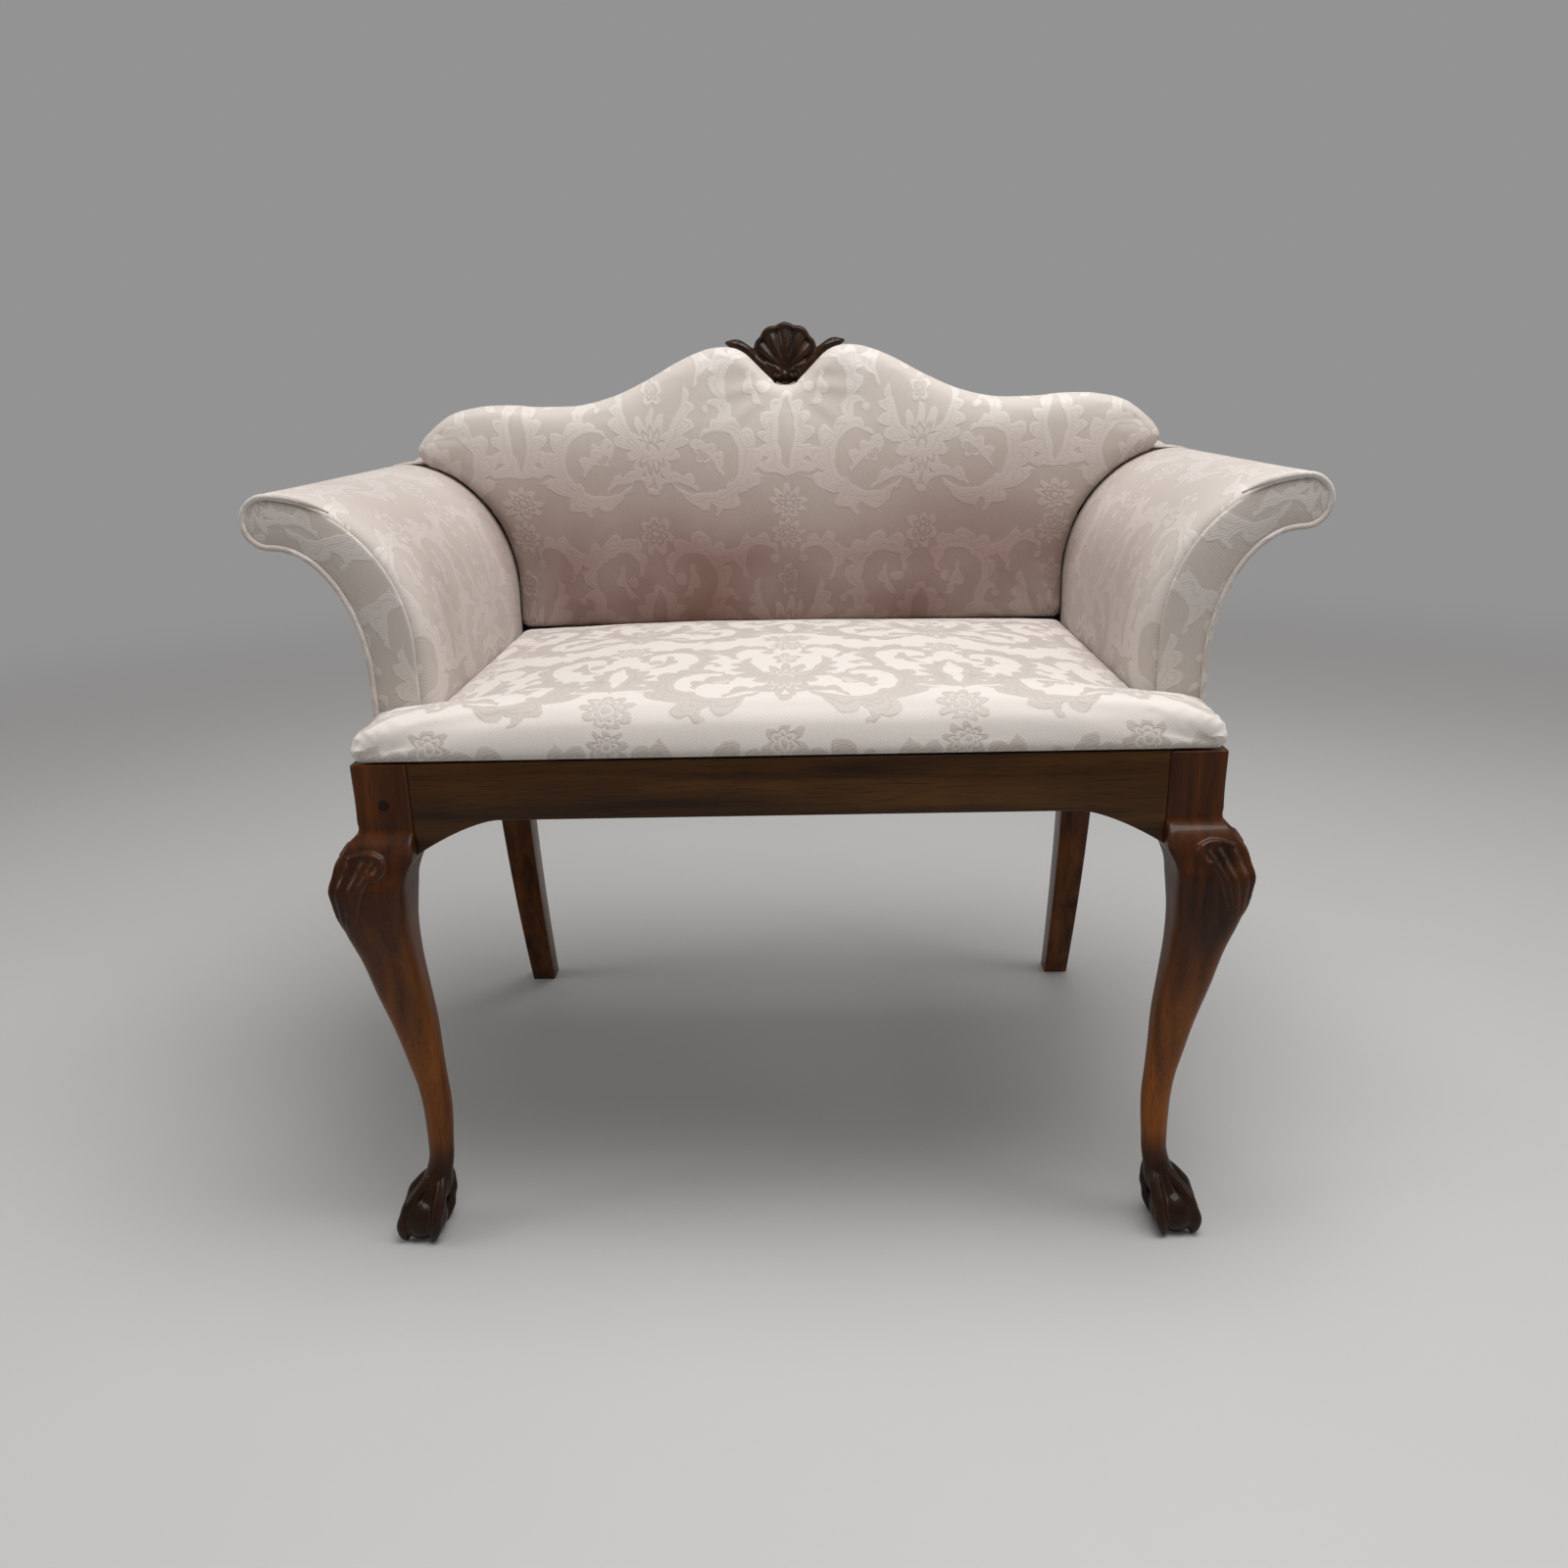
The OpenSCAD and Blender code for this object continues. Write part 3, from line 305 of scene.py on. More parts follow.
def soft_box(x0, x1, y0, y1, ease_r):
    """Rings of a rectangle with eased corners: each limit is one number for each ring."""
    steps = 5
    a = np.linspace(0, np.pi / 2, steps)
    turn = np.concatenate([a + q * np.pi / 2 for q in range(4)])
    x0, x1, y0, y1 = (np.atleast_1d(v)[:, None] for v in (x0, x1, y0, y1))
    corner = np.repeat(np.arange(4), steps)
    cx = np.where((corner == 0) | (corner == 3), x1 - ease_r, x0 + ease_r)
    cy = np.where((corner == 0) | (corner == 1), y1 - ease_r, y0 + ease_r)
    return cx + ease_r * np.cos(turn), cy + ease_r * np.sin(turn)


def mirrored(shape):
    """The same shape on the other side of the settee."""
    points, quads, tris = shape
    return points * [-1, 1, 1], quads[:, ::-1], tris[:, ::-1]


def lean_back(s, points, way=1):
    """Leans points about the front foot of the rear posts, as the back frame leans, or back."""
    y, z = points[..., 1] - s.post_front, points[..., 2] - s.rail_top
    c, k = math.cos(s.lean), way * math.sin(s.lean)
    return np.stack([points[..., 0], s.post_front + y * c + z * k, s.rail_top - y * k + z * c], axis=-1)


def build(name, shape, uv=None):
    """Makes a mesh object of a shape, turned outwards if its signed volume comes out negative."""
    points, quads, tris = shape
    points = points + [0, FACE_Y, 0]
    halves = np.vstack([quads[:, [0, 1, 2]], quads[:, [0, 2, 3]], tris])
    p = points[halves]
    if np.einsum("ij,ij->", p[:, 0], np.cross(p[:, 1], p[:, 2])) < 0:
        quads, tris = quads[:, ::-1], tris[:, ::-1]
    mesh = bpy.data.meshes.new(name)
    corners = np.concatenate([quads.ravel(), tris.ravel()]).astype(np.int32)
    totals = np.concatenate([np.full(len(quads), 4), np.full(len(tris), 3)]).astype(np.int32)
    mesh.vertices.add(len(points))
    mesh.vertices.foreach_set("co", points.astype(np.float32).ravel())
    mesh.loops.add(len(corners))
    mesh.loops.foreach_set("vertex_index", corners)
    mesh.polygons.add(len(totals))
    mesh.polygons.foreach_set("loop_start", np.r_[0, np.cumsum(totals)[:-1]].astype(np.int32))
    mesh.polygons.foreach_set("loop_total", totals)
    mesh.polygons.foreach_set("use_smooth", np.full(len(totals), True))
    mesh.update(calc_edges=True)
    mesh.validate()
    obj = bpy.data.objects.new(name, mesh)
    bpy.context.scene.collection.objects.link(obj)
    if uv is not None:
        lay_cloth(obj, uv)
    return obj


def positions(obj):
    """The object's points, with y counted from the leg blocks' faces."""
    flat = np.empty(len(obj.data.vertices) * 3, np.float32)
    obj.data.vertices.foreach_get("co", flat)
    return flat.reshape(-1, 3).astype(float) - [0, FACE_Y, 0]


def move_points(obj, points):
    """Puts the object's points where they are wanted, with y counted as positions counts it."""
    obj.data.vertices.foreach_set("co", (points + [0, FACE_Y, 0]).astype(np.float32).ravel())
    obj.data.update()


def lay_cloth(obj, uv):
    """Stores where each point lies on the flat cloth, in metres across and up it."""
    corner = np.empty(len(obj.data.loops), np.int32)
    obj.data.loops.foreach_get("vertex_index", corner)
    layer = obj.data.uv_layers.new(name="cloth")
    layer.data.foreach_set("uv", uv[corner].astype(np.float32).ravel())


def settle(obj):
    """Replaces the mesh by what its modifiers make of it."""
    graph = bpy.context.evaluated_depsgraph_get()
    mesh = bpy.data.meshes.new_from_object(obj.evaluated_get(graph))
    obj.modifiers.clear()
    old, obj.data = obj.data, mesh
    bpy.data.meshes.remove(old)


def carved(obj, voxel, passes):
    """Melts crossing shapes into one skin and softens it, as a carver's scraper would."""
    melt = obj.modifiers.new("melt", "REMESH")
    melt.mode, melt.voxel_size, melt.use_smooth_shade = "VOXEL", voxel, True
    scrape = obj.modifiers.new("scrape", "SMOOTH")
    scrape.factor, scrape.iterations = 0.5, passes
    settle(obj)


def melted(obj):
    """Meshes a cushion afresh in even squares, smooths the steps that this leaves, and returns
    where its points are."""
    carved(obj, voxel=0.0045, passes=3)
    return positions(obj)


def lumps(x, y):
    """Slow swells of hand-laid stuffing, from about -1 to 1: a sum of waves, the longest the
    highest, that cross at odd angles."""
    rng = np.random.default_rng(7)
    pitches = (0.31, 0.22, 0.16, 0.11, 0.08, 0.06)
    most = 2.5
    total = 0
    for pitch in pitches:
        turn, start = rng.uniform(0, 2 * np.pi, 2)
        along = x * math.cos(turn) + y * math.sin(turn)
        total = total + pitch / pitches[0] * np.sin(2 * np.pi * along / pitch + start)
    return total / most


def stuffed(obj, held, cap):
    """Blows a cover up with cloth pressure while its held points stay, no further than cap."""
    pressure, steps, loosely, fast = 4.0, 20, 0.35, 1.0
    group = obj.vertex_groups.new(name="tacked")
    for weight in (loosely, fast):
        chosen = np.flatnonzero(held >= weight)
        if len(chosen):
            group.add([int(i) for i in chosen], weight, "REPLACE")
    cloth = obj.modifiers.new("stuffing", "CLOTH")
    kit = cloth.settings
    kit.quality, kit.mass = 5, 0.3
    kit.tension_stiffness = kit.compression_stiffness = 15
    kit.shear_stiffness, kit.bending_stiffness = 5, 0.5
    kit.use_pressure, kit.uniform_pressure_force = True, pressure
    kit.effector_weights.gravity = 0
    kit.vertex_group_mass = "tacked"
    cloth.collision_settings.use_collision = False
    before = positions(obj)
    for step in range(1, steps + 1):
        bpy.context.scene.frame_set(step)
    graph = bpy.context.evaluated_depsgraph_get()
    after = bpy.data.meshes.new_from_object(obj.evaluated_get(graph))
    flat = np.empty(len(before) * 3, np.float32)
    after.vertices.foreach_get("co", flat)
    bpy.data.meshes.remove(after)
    moved = flat.reshape(-1, 3) - [0, FACE_Y, 0] - before
    reach = np.linalg.norm(moved, axis=1, keepdims=True)
    moved *= cap * np.tanh(reach / cap) / np.maximum(reach, 1e-9)
    obj.modifiers.clear()
    obj.vertex_groups.clear()
    bpy.context.scene.frame_set(1)
    move_points(obj, before + moved)
    rounder = obj.modifiers.new("rounder", "SUBSURF")
    rounder.levels = rounder.render_levels = 1


def finish_piece(obj, material, slot, *nodes):
    """Gives a piece its material, its body and the nodes that it stands for. Its slot is not used."""
    obj.data.materials.clear()
    obj.data.materials.append(material)
    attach(obj, "root")
    if nodes:
        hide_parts(*nodes)


# Materials

def add(tree, kind, *inputs, out=0, sockets=None, **settings):
    """Adds a node with its settings, links or fills its inputs, and returns one output."""
    node = tree.nodes.new("ShaderNode" + kind)
    for key, value in settings.items():
        setattr(node, key, value)
    for key, value in [*enumerate(inputs), *(sockets or {}).items()]:
        if isinstance(value, bpy.types.NodeSocket):
            tree.links.new(value, node.inputs[key])
        elif value is not None:
            node.inputs[key].default_value = value
    return node.outputs[out] if node.outputs else None


def new_material(name):
    """An empty node material and its tree."""
    old = bpy.data.materials.get(name)
    if old:
        bpy.data.materials.remove(old)
    material = bpy.data.materials.new(name)
    material.use_nodes = True
    material.node_tree.nodes.clear()
    return material, material.node_tree


def close(tree, shader):
    """Ends a material in its shader."""
    add(tree, "OutputMaterial", shader)


def french_polished_mahogany(name, dark, light, along, wax=None, shin=None):
    """Mahogany sawn along one axis, french polished by hand and worn: long soft figure 15 mm
    wide, open pores 0.3 mm wide drawn 0.9 mm so that they show, and a thin glossy film. The
    shins of legs are worn to a brighter brown, and a dark plug hides the left leg's peg."""
    pore_tint, rubbed_tint, foot_tint, plug_tint = (
        from_hex(code) for code in ("#120804", "#7a4a26", "#140903", "#0d0603"))
    plug_x, plug_z, plug_r = -0.3116, 0.397, 0.0042
    material, t = new_material(name)
    place = add(t, "TexCoord", out=3)
    # Repeats in a metre, with the grain and across it
    slow, fine = ([run if axis == along else wide for axis in "xyz"]
                  for run, wide in ((4, 60), (40, 1100)))
    grain_at = add(t, "Mapping", place, sockets={"Scale": slow})
    pore_at = add(t, "Mapping", place, sockets={"Scale": fine})
    figure = add(t, "TexNoise", grain_at, sockets={"Scale": 1.1, "Detail": 4, "Roughness": 0.5,
                                                   "Distortion": 0.4})
    pores = add(t, "TexNoise", pore_at, sockets={"Scale": 1, "Detail": 2, "Roughness": 0.5})
    cloud = add(t, "TexNoise", place, sockets={"Scale": 9, "Detail": 3})
    streak = add(t, "MapRange", figure, 0.3, 0.72, 0.05, 0.85)
    base = add(t, "Mix", streak, data_type="RGBA", out=2, sockets={6: dark, 7: light})
    dull = add(t, "MapRange", cloud, 0.35, 0.7, 0.0, 0.45)
    base = add(t, "Mix", dull, data_type="RGBA", out=2, sockets={6: base, 7: dark})
    if shin is not None:
        # The shin is worn most 100 to 120 mm above the floor, and the foot is dark below 90 mm
        spot = add(t, "SeparateXYZ", place).node
        height = spot.outputs[2]
        above = add(t, "MapRange", height, 0.05, 0.1, 0, 1, interpolation_type="SMOOTHSTEP")
        below = add(t, "MapRange", height, 0.33, 0.12, 0, 1, interpolation_type="SMOOTHSTEP")
        worn = add(t, "Math", above, below, operation="MULTIPLY")
        worn = add(t, "Math", worn, add(t, "MapRange", figure, 0.3, 0.7, 0.35, 1), operation="MULTIPLY")
        base = add(t, "Mix", worn, data_type="RGBA", out=2, sockets={6: base, 7: shin})
        foot = add(t, "MapRange", height, 0.09, 0.055, 0, 0.75, interpolation_type="SMOOTHSTEP")
        base = add(t, "Mix", foot, data_type="RGBA", out=2, sockets={6: base, 7: foot_tint})
        dx = add(t, "Math", spot.outputs[0], plug_x, operation="SUBTRACT")
        dz = add(t, "Math", height, plug_z, operation="SUBTRACT")
        reach = add(t, "VectorMath", add(t, "CombineXYZ", dx, dz), operation="LENGTH", out=1)
        plug = add(t, "MapRange", reach, plug_r + 0.0006, plug_r, 0, 0.85)
        base = add(t, "Mix", plug, data_type="RGBA", out=2, sockets={6: base, 7: plug_tint})
    pore = add(t, "MapRange", pores, 0.56, 0.68, 0, 0.5)
    base = add(t, "Mix", pore, data_type="RGBA", out=2, sockets={6: base, 7: pore_tint})
    # Pointiness is above a half where an edge is rubbed bright, and below where wax collects
    edge = add(t, "NewGeometry", out=7)
    rubbed = add(t, "MapRange", edge, 0.53, 0.62, 0, 0.35)
    base = add(t, "Mix", rubbed, data_type="RGBA", out=2, sockets={6: base, 7: rubbed_tint})
    if wax is not None:
        hollow = add(t, "MapRange", edge, 0.49, 0.44, 0, 0.35)
        speck = add(t, "MapRange", cloud, 0.45, 0.65, 0, 1)
        hollow = add(t, "Math", hollow, speck, operation="MULTIPLY")
        base = add(t, "Mix", hollow, data_type="RGBA", out=2, sockets={6: base, 7: wax})
    rough = add(t, "MapRange", cloud, 0.3, 0.7, 0.34, 0.48)
    bump = add(t, "Bump", sockets={"Strength": 0.25, "Distance": 0.0003, "Height": pores})
    close(t, add(t, "BsdfPrincipled", sockets={
        "Base Color": base, "Roughness": rough, "Normal": bump, "IOR": 1.5, "Specular IOR Level": 0.12,
        "Coat Weight": 0.22, "Coat Roughness": 0.07, "Coat IOR": 1.4}))
    return material


def frond(t, at, u, v, middle, radius, start, sweep, width, lobes, curl, knob):
    """How far inside a curved leaf a point is, in millimetres. The leaf follows an arc round its
    middle that winds in by the share curl, and is widest before halfway. Its outer edge has
    slanting lobes, its inner edge is plain, and a scroll ends in a round knob."""
    turn = math.copysign(1, sweep) / abs(math.radians(sweep))
    dx = add(t, "Math", u, middle[0], operation="SUBTRACT")
    dy = add(t, "Math", v, middle[1], operation="SUBTRACT")
    angle = add(t, "Math", dy, dx, operation="ARCTAN2")
    share = add(t, "Math", angle, turn, -math.radians(start) * turn, operation="MULTIPLY_ADD")
    share = add(t, "Math", share, 2 * math.pi * abs(turn), 0, operation="WRAP")
    share = add(t, "Math", share, 1, operation="MINIMUM")
    reach = add(t, "VectorMath", at, (*middle, 0), operation="DISTANCE", out=1)
    arc = add(t, "Math", share, -curl * radius, radius, operation="MULTIPLY_ADD")
    off = add(t, "Math", reach, arc, operation="SUBTRACT")
    early = add(t, "Math", share, 0.75, operation="POWER")
    body = add(t, "Math", add(t, "Math", early, math.pi, operation="MULTIPLY"), operation="SINE")
    if lobes:
        least, swell, plain = 0.42, 0.78, 0.62
        slant = add(t, "Math", off, -0.09, operation="MULTIPLY")
        lobe = add(t, "Math", share, math.pi * lobes, slant, operation="MULTIPLY_ADD")
        lobe = add(t, "Math", add(t, "Math", lobe, operation="COSINE"), operation="ABSOLUTE")
        lobed = add(t, "Math", lobe, swell, least, operation="MULTIPLY_ADD")
        outer = add(t, "Math", off, 0, operation="GREATER_THAN")
        kept = add(t, "Mix", outer, data_type="FLOAT", sockets={2: plain, 3: lobed})
        body = add(t, "Math", body, kept, operation="MULTIPLY")
    # 0.7 mm less, so that an end that comes to nothing leaves no line
    away = add(t, "Math", add(t, "Math", off, operation="ABSOLUTE"), -1, -0.7, operation="MULTIPLY_ADD")
    inside = add(t, "Math", body, width, away, operation="MULTIPLY_ADD")
    if knob:
        end, tip = math.radians(start + sweep), radius * (1 - curl)
        centre = (middle[0] + tip * math.cos(end), middle[1] + tip * math.sin(end), 0)
        reach = add(t, "VectorMath", at, centre, operation="DISTANCE", out=1)
        bead = add(t, "Math", knob, reach, operation="SUBTRACT")
        inside = add(t, "Math", inside, bead, operation="MAXIMUM")
    return inside


# The damask's leaves and scrolls in a quarter of its repeat, in millimetres and degrees: middle,
# radius, start, sweep, width, lobes, curl, knob
FRONDS = [
    ((62, 62), 50, -150, 300, 16, 9, 0.62, 7),
    ((102, 136), 37, -120, -285, 13, 7, 0.62, 6),
    ((26, 148), 26, -60, 250, 10, 5, 0.6, 5),
    ((-30, 116), 66, -66, 84, 14, 6, 0.05, 0),
    ((120, -14), 58, 170, -80, 11, 5, 0.1, 0),
    ((176, 84), 58, 235, -110, 13, 7, 0.1, 0),
    ((70, 180), 30, 185, 170, 9, 5, 0.1, 0),
    ((20, 14), 30, 20, 130, 8, 4, 0.3, 4),
    ((112, 58), 17, 90, -280, 7, 0, 0.6, 4),
    ((62, 104), 16, -100, 260, 7, 0, 0.6, 4),
    ((36, 40), 34, 0, 95, 9, 4, 0.1, 0),
    ((128, 128), 30, 150, 95, 8, 3, 0.2, 0),
]
# Its flowers: middle, radius, half the number of petals, how much taller than wide
FLOWERS = [
    ((0, 66), 26, 5.5, 1.6), ((136, 14), 22, 4.5, 0.85), ((136, 172), 18, 3.5, 1.2),
    ((0, 172), 17, 4.5, 1.0), ((0, 124), 12, 2.5, 1.5), ((52, 62), 11, 2.5, 1.0),
]


def flower(t, u, v, middle, radius, half_petals, tall):
    """How far inside a flower a point is, in millimetres: its edge swings in between petals,
    which grow in two rows round a heart, and a line of ground parts each."""
    dx = add(t, "Math", u, middle[0], operation="SUBTRACT")
    dy = add(t, "Math", v, 1 / tall, -middle[1] / tall, operation="MULTIPLY_ADD")
    reach = add(t, "VectorMath", add(t, "CombineXYZ", dx, dy), operation="LENGTH", out=1)
    angle = add(t, "Math", dx, dy, operation="ARCTAN2")
    angle = add(t, "Math", angle, half_petals, operation="MULTIPLY")
    petal = add(t, "Math", add(t, "Math", angle, operation="COSINE"), operation="ABSOLUTE")
    edge = add(t, "Math", petal, 0.42 * radius, 0.58 * radius, operation="MULTIPLY_ADD")
    inside = add(t, "Math", edge, reach, operation="SUBTRACT")
    within = add(t, "Math", reach, -1, operation="MULTIPLY")
    row = add(t, "Math", edge, 0.55, within, operation="MULTIPLY_ADD")
    heart = add(t, "Math", reach, 0.22 * radius, operation="SUBTRACT")
    for line, half in ((row, 1.1), (heart, 0.9)):
        gap = add(t, "Math", add(t, "Math", line, operation="ABSOLUTE"), half, operation="SUBTRACT")
        inside = add(t, "Math", inside, gap, operation="MINIMUM")
    return inside


def damask(name, colours, sizes, ground, figure_colour, contrast, low_shade_amount):
    """Silk and cotton damask woven on a jacquard loom, ivory on ivory: leaves, scrolls and
    flowers stand a little proud of the ground, each ribbed its own way. Threads 0.4 mm apart
    are drawn 2 mm apart to show."""
    material, t = new_material(name)
    cloth = add(t, "UVMap", uv_map="cloth")
    wander = add(t, "TexNoise", cloth, sockets={"Scale": 34, "Detail": 2, "Roughness": 0.55}, out=1)
    wander = add(t, "VectorMath", wander, (0.5, 0.5, 0.5), operation="SUBTRACT")
    wander = add(t, "VectorMath", wander, (14, 14, 0), operation="MULTIPLY")
    # In millimetres, each thread about 3 mm off its line at most
    swayed = add(t, "VectorMath", cloth, (1000, 1000, 1000), wander, operation="MULTIPLY_ADD")
    parts = add(t, "SeparateXYZ", swayed).node
    u, v = parts.outputs[0], parts.outputs[1]
    # Half a repeat each way: every second row of halves is set off by half a repeat
    column, row = sizes.repeat_w * 500, sizes.repeat_h * 500
    cell = add(t, "Math", add(t, "Math", v, row, operation="DIVIDE"), operation="FLOOR")
    odd = add(t, "Math", cell, 2, operation="FLOORED_MODULO")
    u = add(t, "Math", odd, column, u, operation="MULTIPLY_ADD")
    u = add(t, "Math", u, column, operation="PINGPONG")
    v = add(t, "Math", cell, -row, v, operation="MULTIPLY_ADD")
    at = add(t, "CombineXYZ", u, v)
    leaves = [frond(t, at, u, v, *row_of_sizes) for row_of_sizes in FRONDS]
    flowers = [flower(t, u, v, *row_of_sizes) for row_of_sizes in FLOWERS]
    inside, *others = leaves + flowers
    for other in others:
        inside = add(t, "Math", inside, other, operation="MAXIMUM")
    figure = add(t, "MapRange", inside, -0.5, 0.7, 0, 1)
    edge = add(t, "MapRange", add(t, "Math", inside, operation="ABSOLUTE"), 0.0, 1.1, 1, 0)
    vein = add(t, "Math", add(t, "Math", inside, 3.1, operation="PINGPONG"), 0.55, operation="LESS_THAN")
    vein = add(t, "Math", vein, figure, operation="MULTIPLY")
    relief = add(t, "MapRange", inside, -1.5, 2.0, 0, 1, interpolation_type="SMOOTHSTEP")
    relief = add(t, "Math", vein, -0.4, relief, operation="MULTIPLY_ADD")

    # 2.1 mm from rib to rib, and 1.9 mm between the twill's lines
    ribs = add(t, "TexWave", add(t, "Mapping", cloth, sockets={"Rotation": (0, 0, 1.35)}),
               sockets={"Scale": 150, "Distortion": 1.2, "Detail": 1, "Detail Scale": 1.5})
    twill = add(t, "TexWave", cloth, bands_direction="DIAGONAL", sockets={
        "Scale": 230, "Distortion": 0.5, "Detail": 1, "Detail Scale": 2})
    lines = add(t, "Mix", figure, data_type="FLOAT", sockets={2: twill, 3: ribs})
    slub = add(t, "TexNoise", cloth, sockets={"Scale": 900, "Detail": 2})
    weave = add(t, "Math", lines, slub, operation="MULTIPLY")
    height = add(t, "Math", weave, 0.4, relief, operation="MULTIPLY_ADD")

    # Painted shade: the covers are painted darker and pinker low down, where less light falls: fully on the
    # inside back, and by half beside the seat
    place = add(t, "TexCoord", out=3)
    spot = add(t, "SeparateXYZ", place).node
    uneven = add(t, "TexNoise", place, sockets={"Scale": 5, "Detail": 3})
    low = add(t, "MapRange", spot.outputs[2], 0.67, 0.53, 0, low_shade_amount)
    behind = add(t, "MapRange", spot.outputs[1], 0.05, 0.15, 0, 1, interpolation_type="SMOOTHSTEP")
    out = add(t, "Math", spot.outputs[0], operation="ABSOLUTE")
    beside = add(t, "MapRange", out, 0.2, 0.3, 0, 0.5, interpolation_type="SMOOTHSTEP")
    between = add(t, "MapRange", spot.outputs[1], -0.2, -0.1, 0, 1)
    beside = add(t, "Math", beside, between, operation="MULTIPLY")
    low = add(t, "Math", low, add(t, "Math", behind, beside, operation="MAXIMUM"), operation="MULTIPLY")
    low = add(t, "Math", low, add(t, "MapRange", uneven, 0.35, 0.65, 0.6, 1), operation="MULTIPLY")
    # Painted sheen: the figure and the ground are painted in a brighter and a duller tone for the satin's
    # shine
    tone = add(t, "MapRange", figure, 0, 1, 0.5 - contrast / 2, 0.5 + contrast / 2)
    base = add(t, "Mix", tone, data_type="RGBA", out=2, sockets={6: ground[:], 7: figure_colour[:]})
    base = add(t, "Mix", low, data_type="RGBA", blend_type="MULTIPLY", out=2,
               sockets={6: base, 7: colours.low_pink_shade[:]})
    # Painted shade: the colour is darkened in the veins, along the figures' outlines and where the threads
    # dip
    thread = add(t, "MapRange", weave, 0.1, 0.55, 0.92, 1.0)
    shade = add(t, "Math", vein, add(t, "Math", edge, 0.8, operation="MULTIPLY"), operation="MAXIMUM")
    shade = add(t, "Math", shade, -0.09, thread, operation="MULTIPLY_ADD")
    base = add(t, "VectorMath", base, add(t, "CombineXYZ", shade, shade, shade), operation="MULTIPLY")
    rough = add(t, "MapRange", figure, 0, 1, 0.78, 0.5)
    bump = add(t, "Bump", sockets={"Strength": 0.6, "Distance": 0.0006, "Height": height})
    close(t, add(t, "BsdfPrincipled", sockets={
        "Base Color": base, "Roughness": rough, "Normal": bump,
        "Sheen Weight": 0.2, "Sheen Roughness": 0.4, "Specular IOR Level": 0.35}))
    return material


def planed_beech(name, base):
    """Bare beech, planed: pale and dry, with short darker flecks 3 mm long along the grain."""
    streak_tint, fleck_tint = from_hex("#8f6a40"), from_hex("#6e4c2b")
    material, t = new_material(name)
    place = add(t, "TexCoord", out=3)
    streak = add(t, "TexNoise", add(t, "Mapping", place, sockets={"Scale": (25, 160, 160)}),
                 sockets={"Scale": 1, "Detail": 3})
    fleck = add(t, "TexNoise", add(t, "Mapping", place, sockets={"Scale": (330, 1500, 1500)}),
                sockets={"Scale": 1, "Detail": 1})
    shade = add(t, "MapRange", streak, 0.3, 0.7, 0, 0.6)
    tint = add(t, "Mix", shade, data_type="RGBA", out=2, sockets={6: base[:], 7: streak_tint})
    dark = add(t, "MapRange", fleck, 0.6, 0.7, 0, 0.6)
    tint = add(t, "Mix", dark, data_type="RGBA", out=2, sockets={6: tint, 7: fleck_tint})
    bump = add(t, "Bump", sockets={"Strength": 0.3, "Distance": 0.0003, "Height": fleck})
    close(t, add(t, "BsdfPrincipled", sockets={"Base Color": tint, "Roughness": 0.65, "Normal": bump}))
    return material


def woven_jute(name, base, pitch):
    """Jute spun thick and woven plain: hairy brown threads, one pitch apart each way."""
    material, t = new_material(name)
    place = add(t, "TexCoord", out=3)
    parts = add(t, "SeparateXYZ", place).node
    turns = [add(t, "Math", parts.outputs[i], math.pi / pitch, operation="MULTIPLY") for i in range(3)]
    x, y, z = (add(t, "Math", turn, operation="SINE") for turn in turns)
    cross = add(t, "Math", x, add(t, "Math", y, z, operation="ADD"), operation="MULTIPLY")
    hair = add(t, "TexNoise", place, sockets={"Scale": 700, "Detail": 3})
    height = add(t, "Math", hair, 0.6, cross, operation="MULTIPLY_ADD")
    shade = add(t, "MapRange", height, -0.4, 1.1, 0, 1)
    tint = add(t, "Mix", shade, data_type="RGBA", out=2, sockets={6: from_hex("#5f4b2e"), 7: base[:]})
    bump = add(t, "Bump", sockets={"Strength": 0.7, "Distance": 0.0006, "Height": height})
    close(t, add(t, "BsdfPrincipled", sockets={"Base Color": tint, "Roughness": 0.9, "Normal": bump,
                                               "Sheen Weight": 0.2}))
    return material


def turned_steel(name):
    """Plain steel, turned and dulled, with a patchy brown bloom."""
    material, t = new_material(name)
    place = add(t, "TexCoord", out=3)
    bloom = add(t, "TexNoise", place, sockets={"Scale": 400, "Detail": 3})
    tint = add(t, "Mix", add(t, "MapRange", bloom, 0.45, 0.7, 0, 1), data_type="RGBA", out=2,
               sockets={6: from_hex("#a2a3a4"), 7: from_hex("#6d5a48")})
    rough = add(t, "MapRange", bloom, 0.3, 0.7, 0.28, 0.5)
    close(t, add(t, "BsdfPrincipled", sockets={"Base Color": tint, "Metallic": 1.0, "Roughness": rough}))
    return material


def repaint(node, material):
    """Gives a CAD node that stays a better material."""
    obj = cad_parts[node]
    if not obj.material_slots:
        obj.data.materials.append(material)
    for slot in obj.material_slots:
        slot.material = material


# The pieces' shapes

# How far the edges of the rails and of the rear posts are eased
RAIL_EDGE, POST_EDGE = 0.0014, 0.0022


def drop_low(s, run):
    """The rail's lower edge: level, then falling to the leg by a power curve over drop_run."""
    t = np.clip(1 - run / s.drop_run, 0, 1)
    return s.rail_low - s.rail_drop * t ** 1.5


def rail_run(s, end):
    """Places along a rail from a leg, close together on the drop and wider apart beyond it."""
    return np.r_[np.linspace(0, s.drop_run, 40), np.linspace(s.drop_run + 0.01, end, 30)]


def front_rail_shape(s):
    """A rounded rectangle carried from leg to leg, whose lower edge follows drop_low."""
    run = rail_run(s, s.block_inner)
    x = np.r_[-s.block_inner + run[:-1], s.block_inner - run[::-1]]
    low = drop_low(s, s.block_inner - np.abs(x))
    y, z = soft_box(s.setback, s.setback + s.rail_t, low, np.full_like(x, s.rail_top), RAIL_EDGE)
    return skin(np.stack([np.broadcast_to(x[:, None], z.shape), np.broadcast_to(y, z.shape), z], -1))


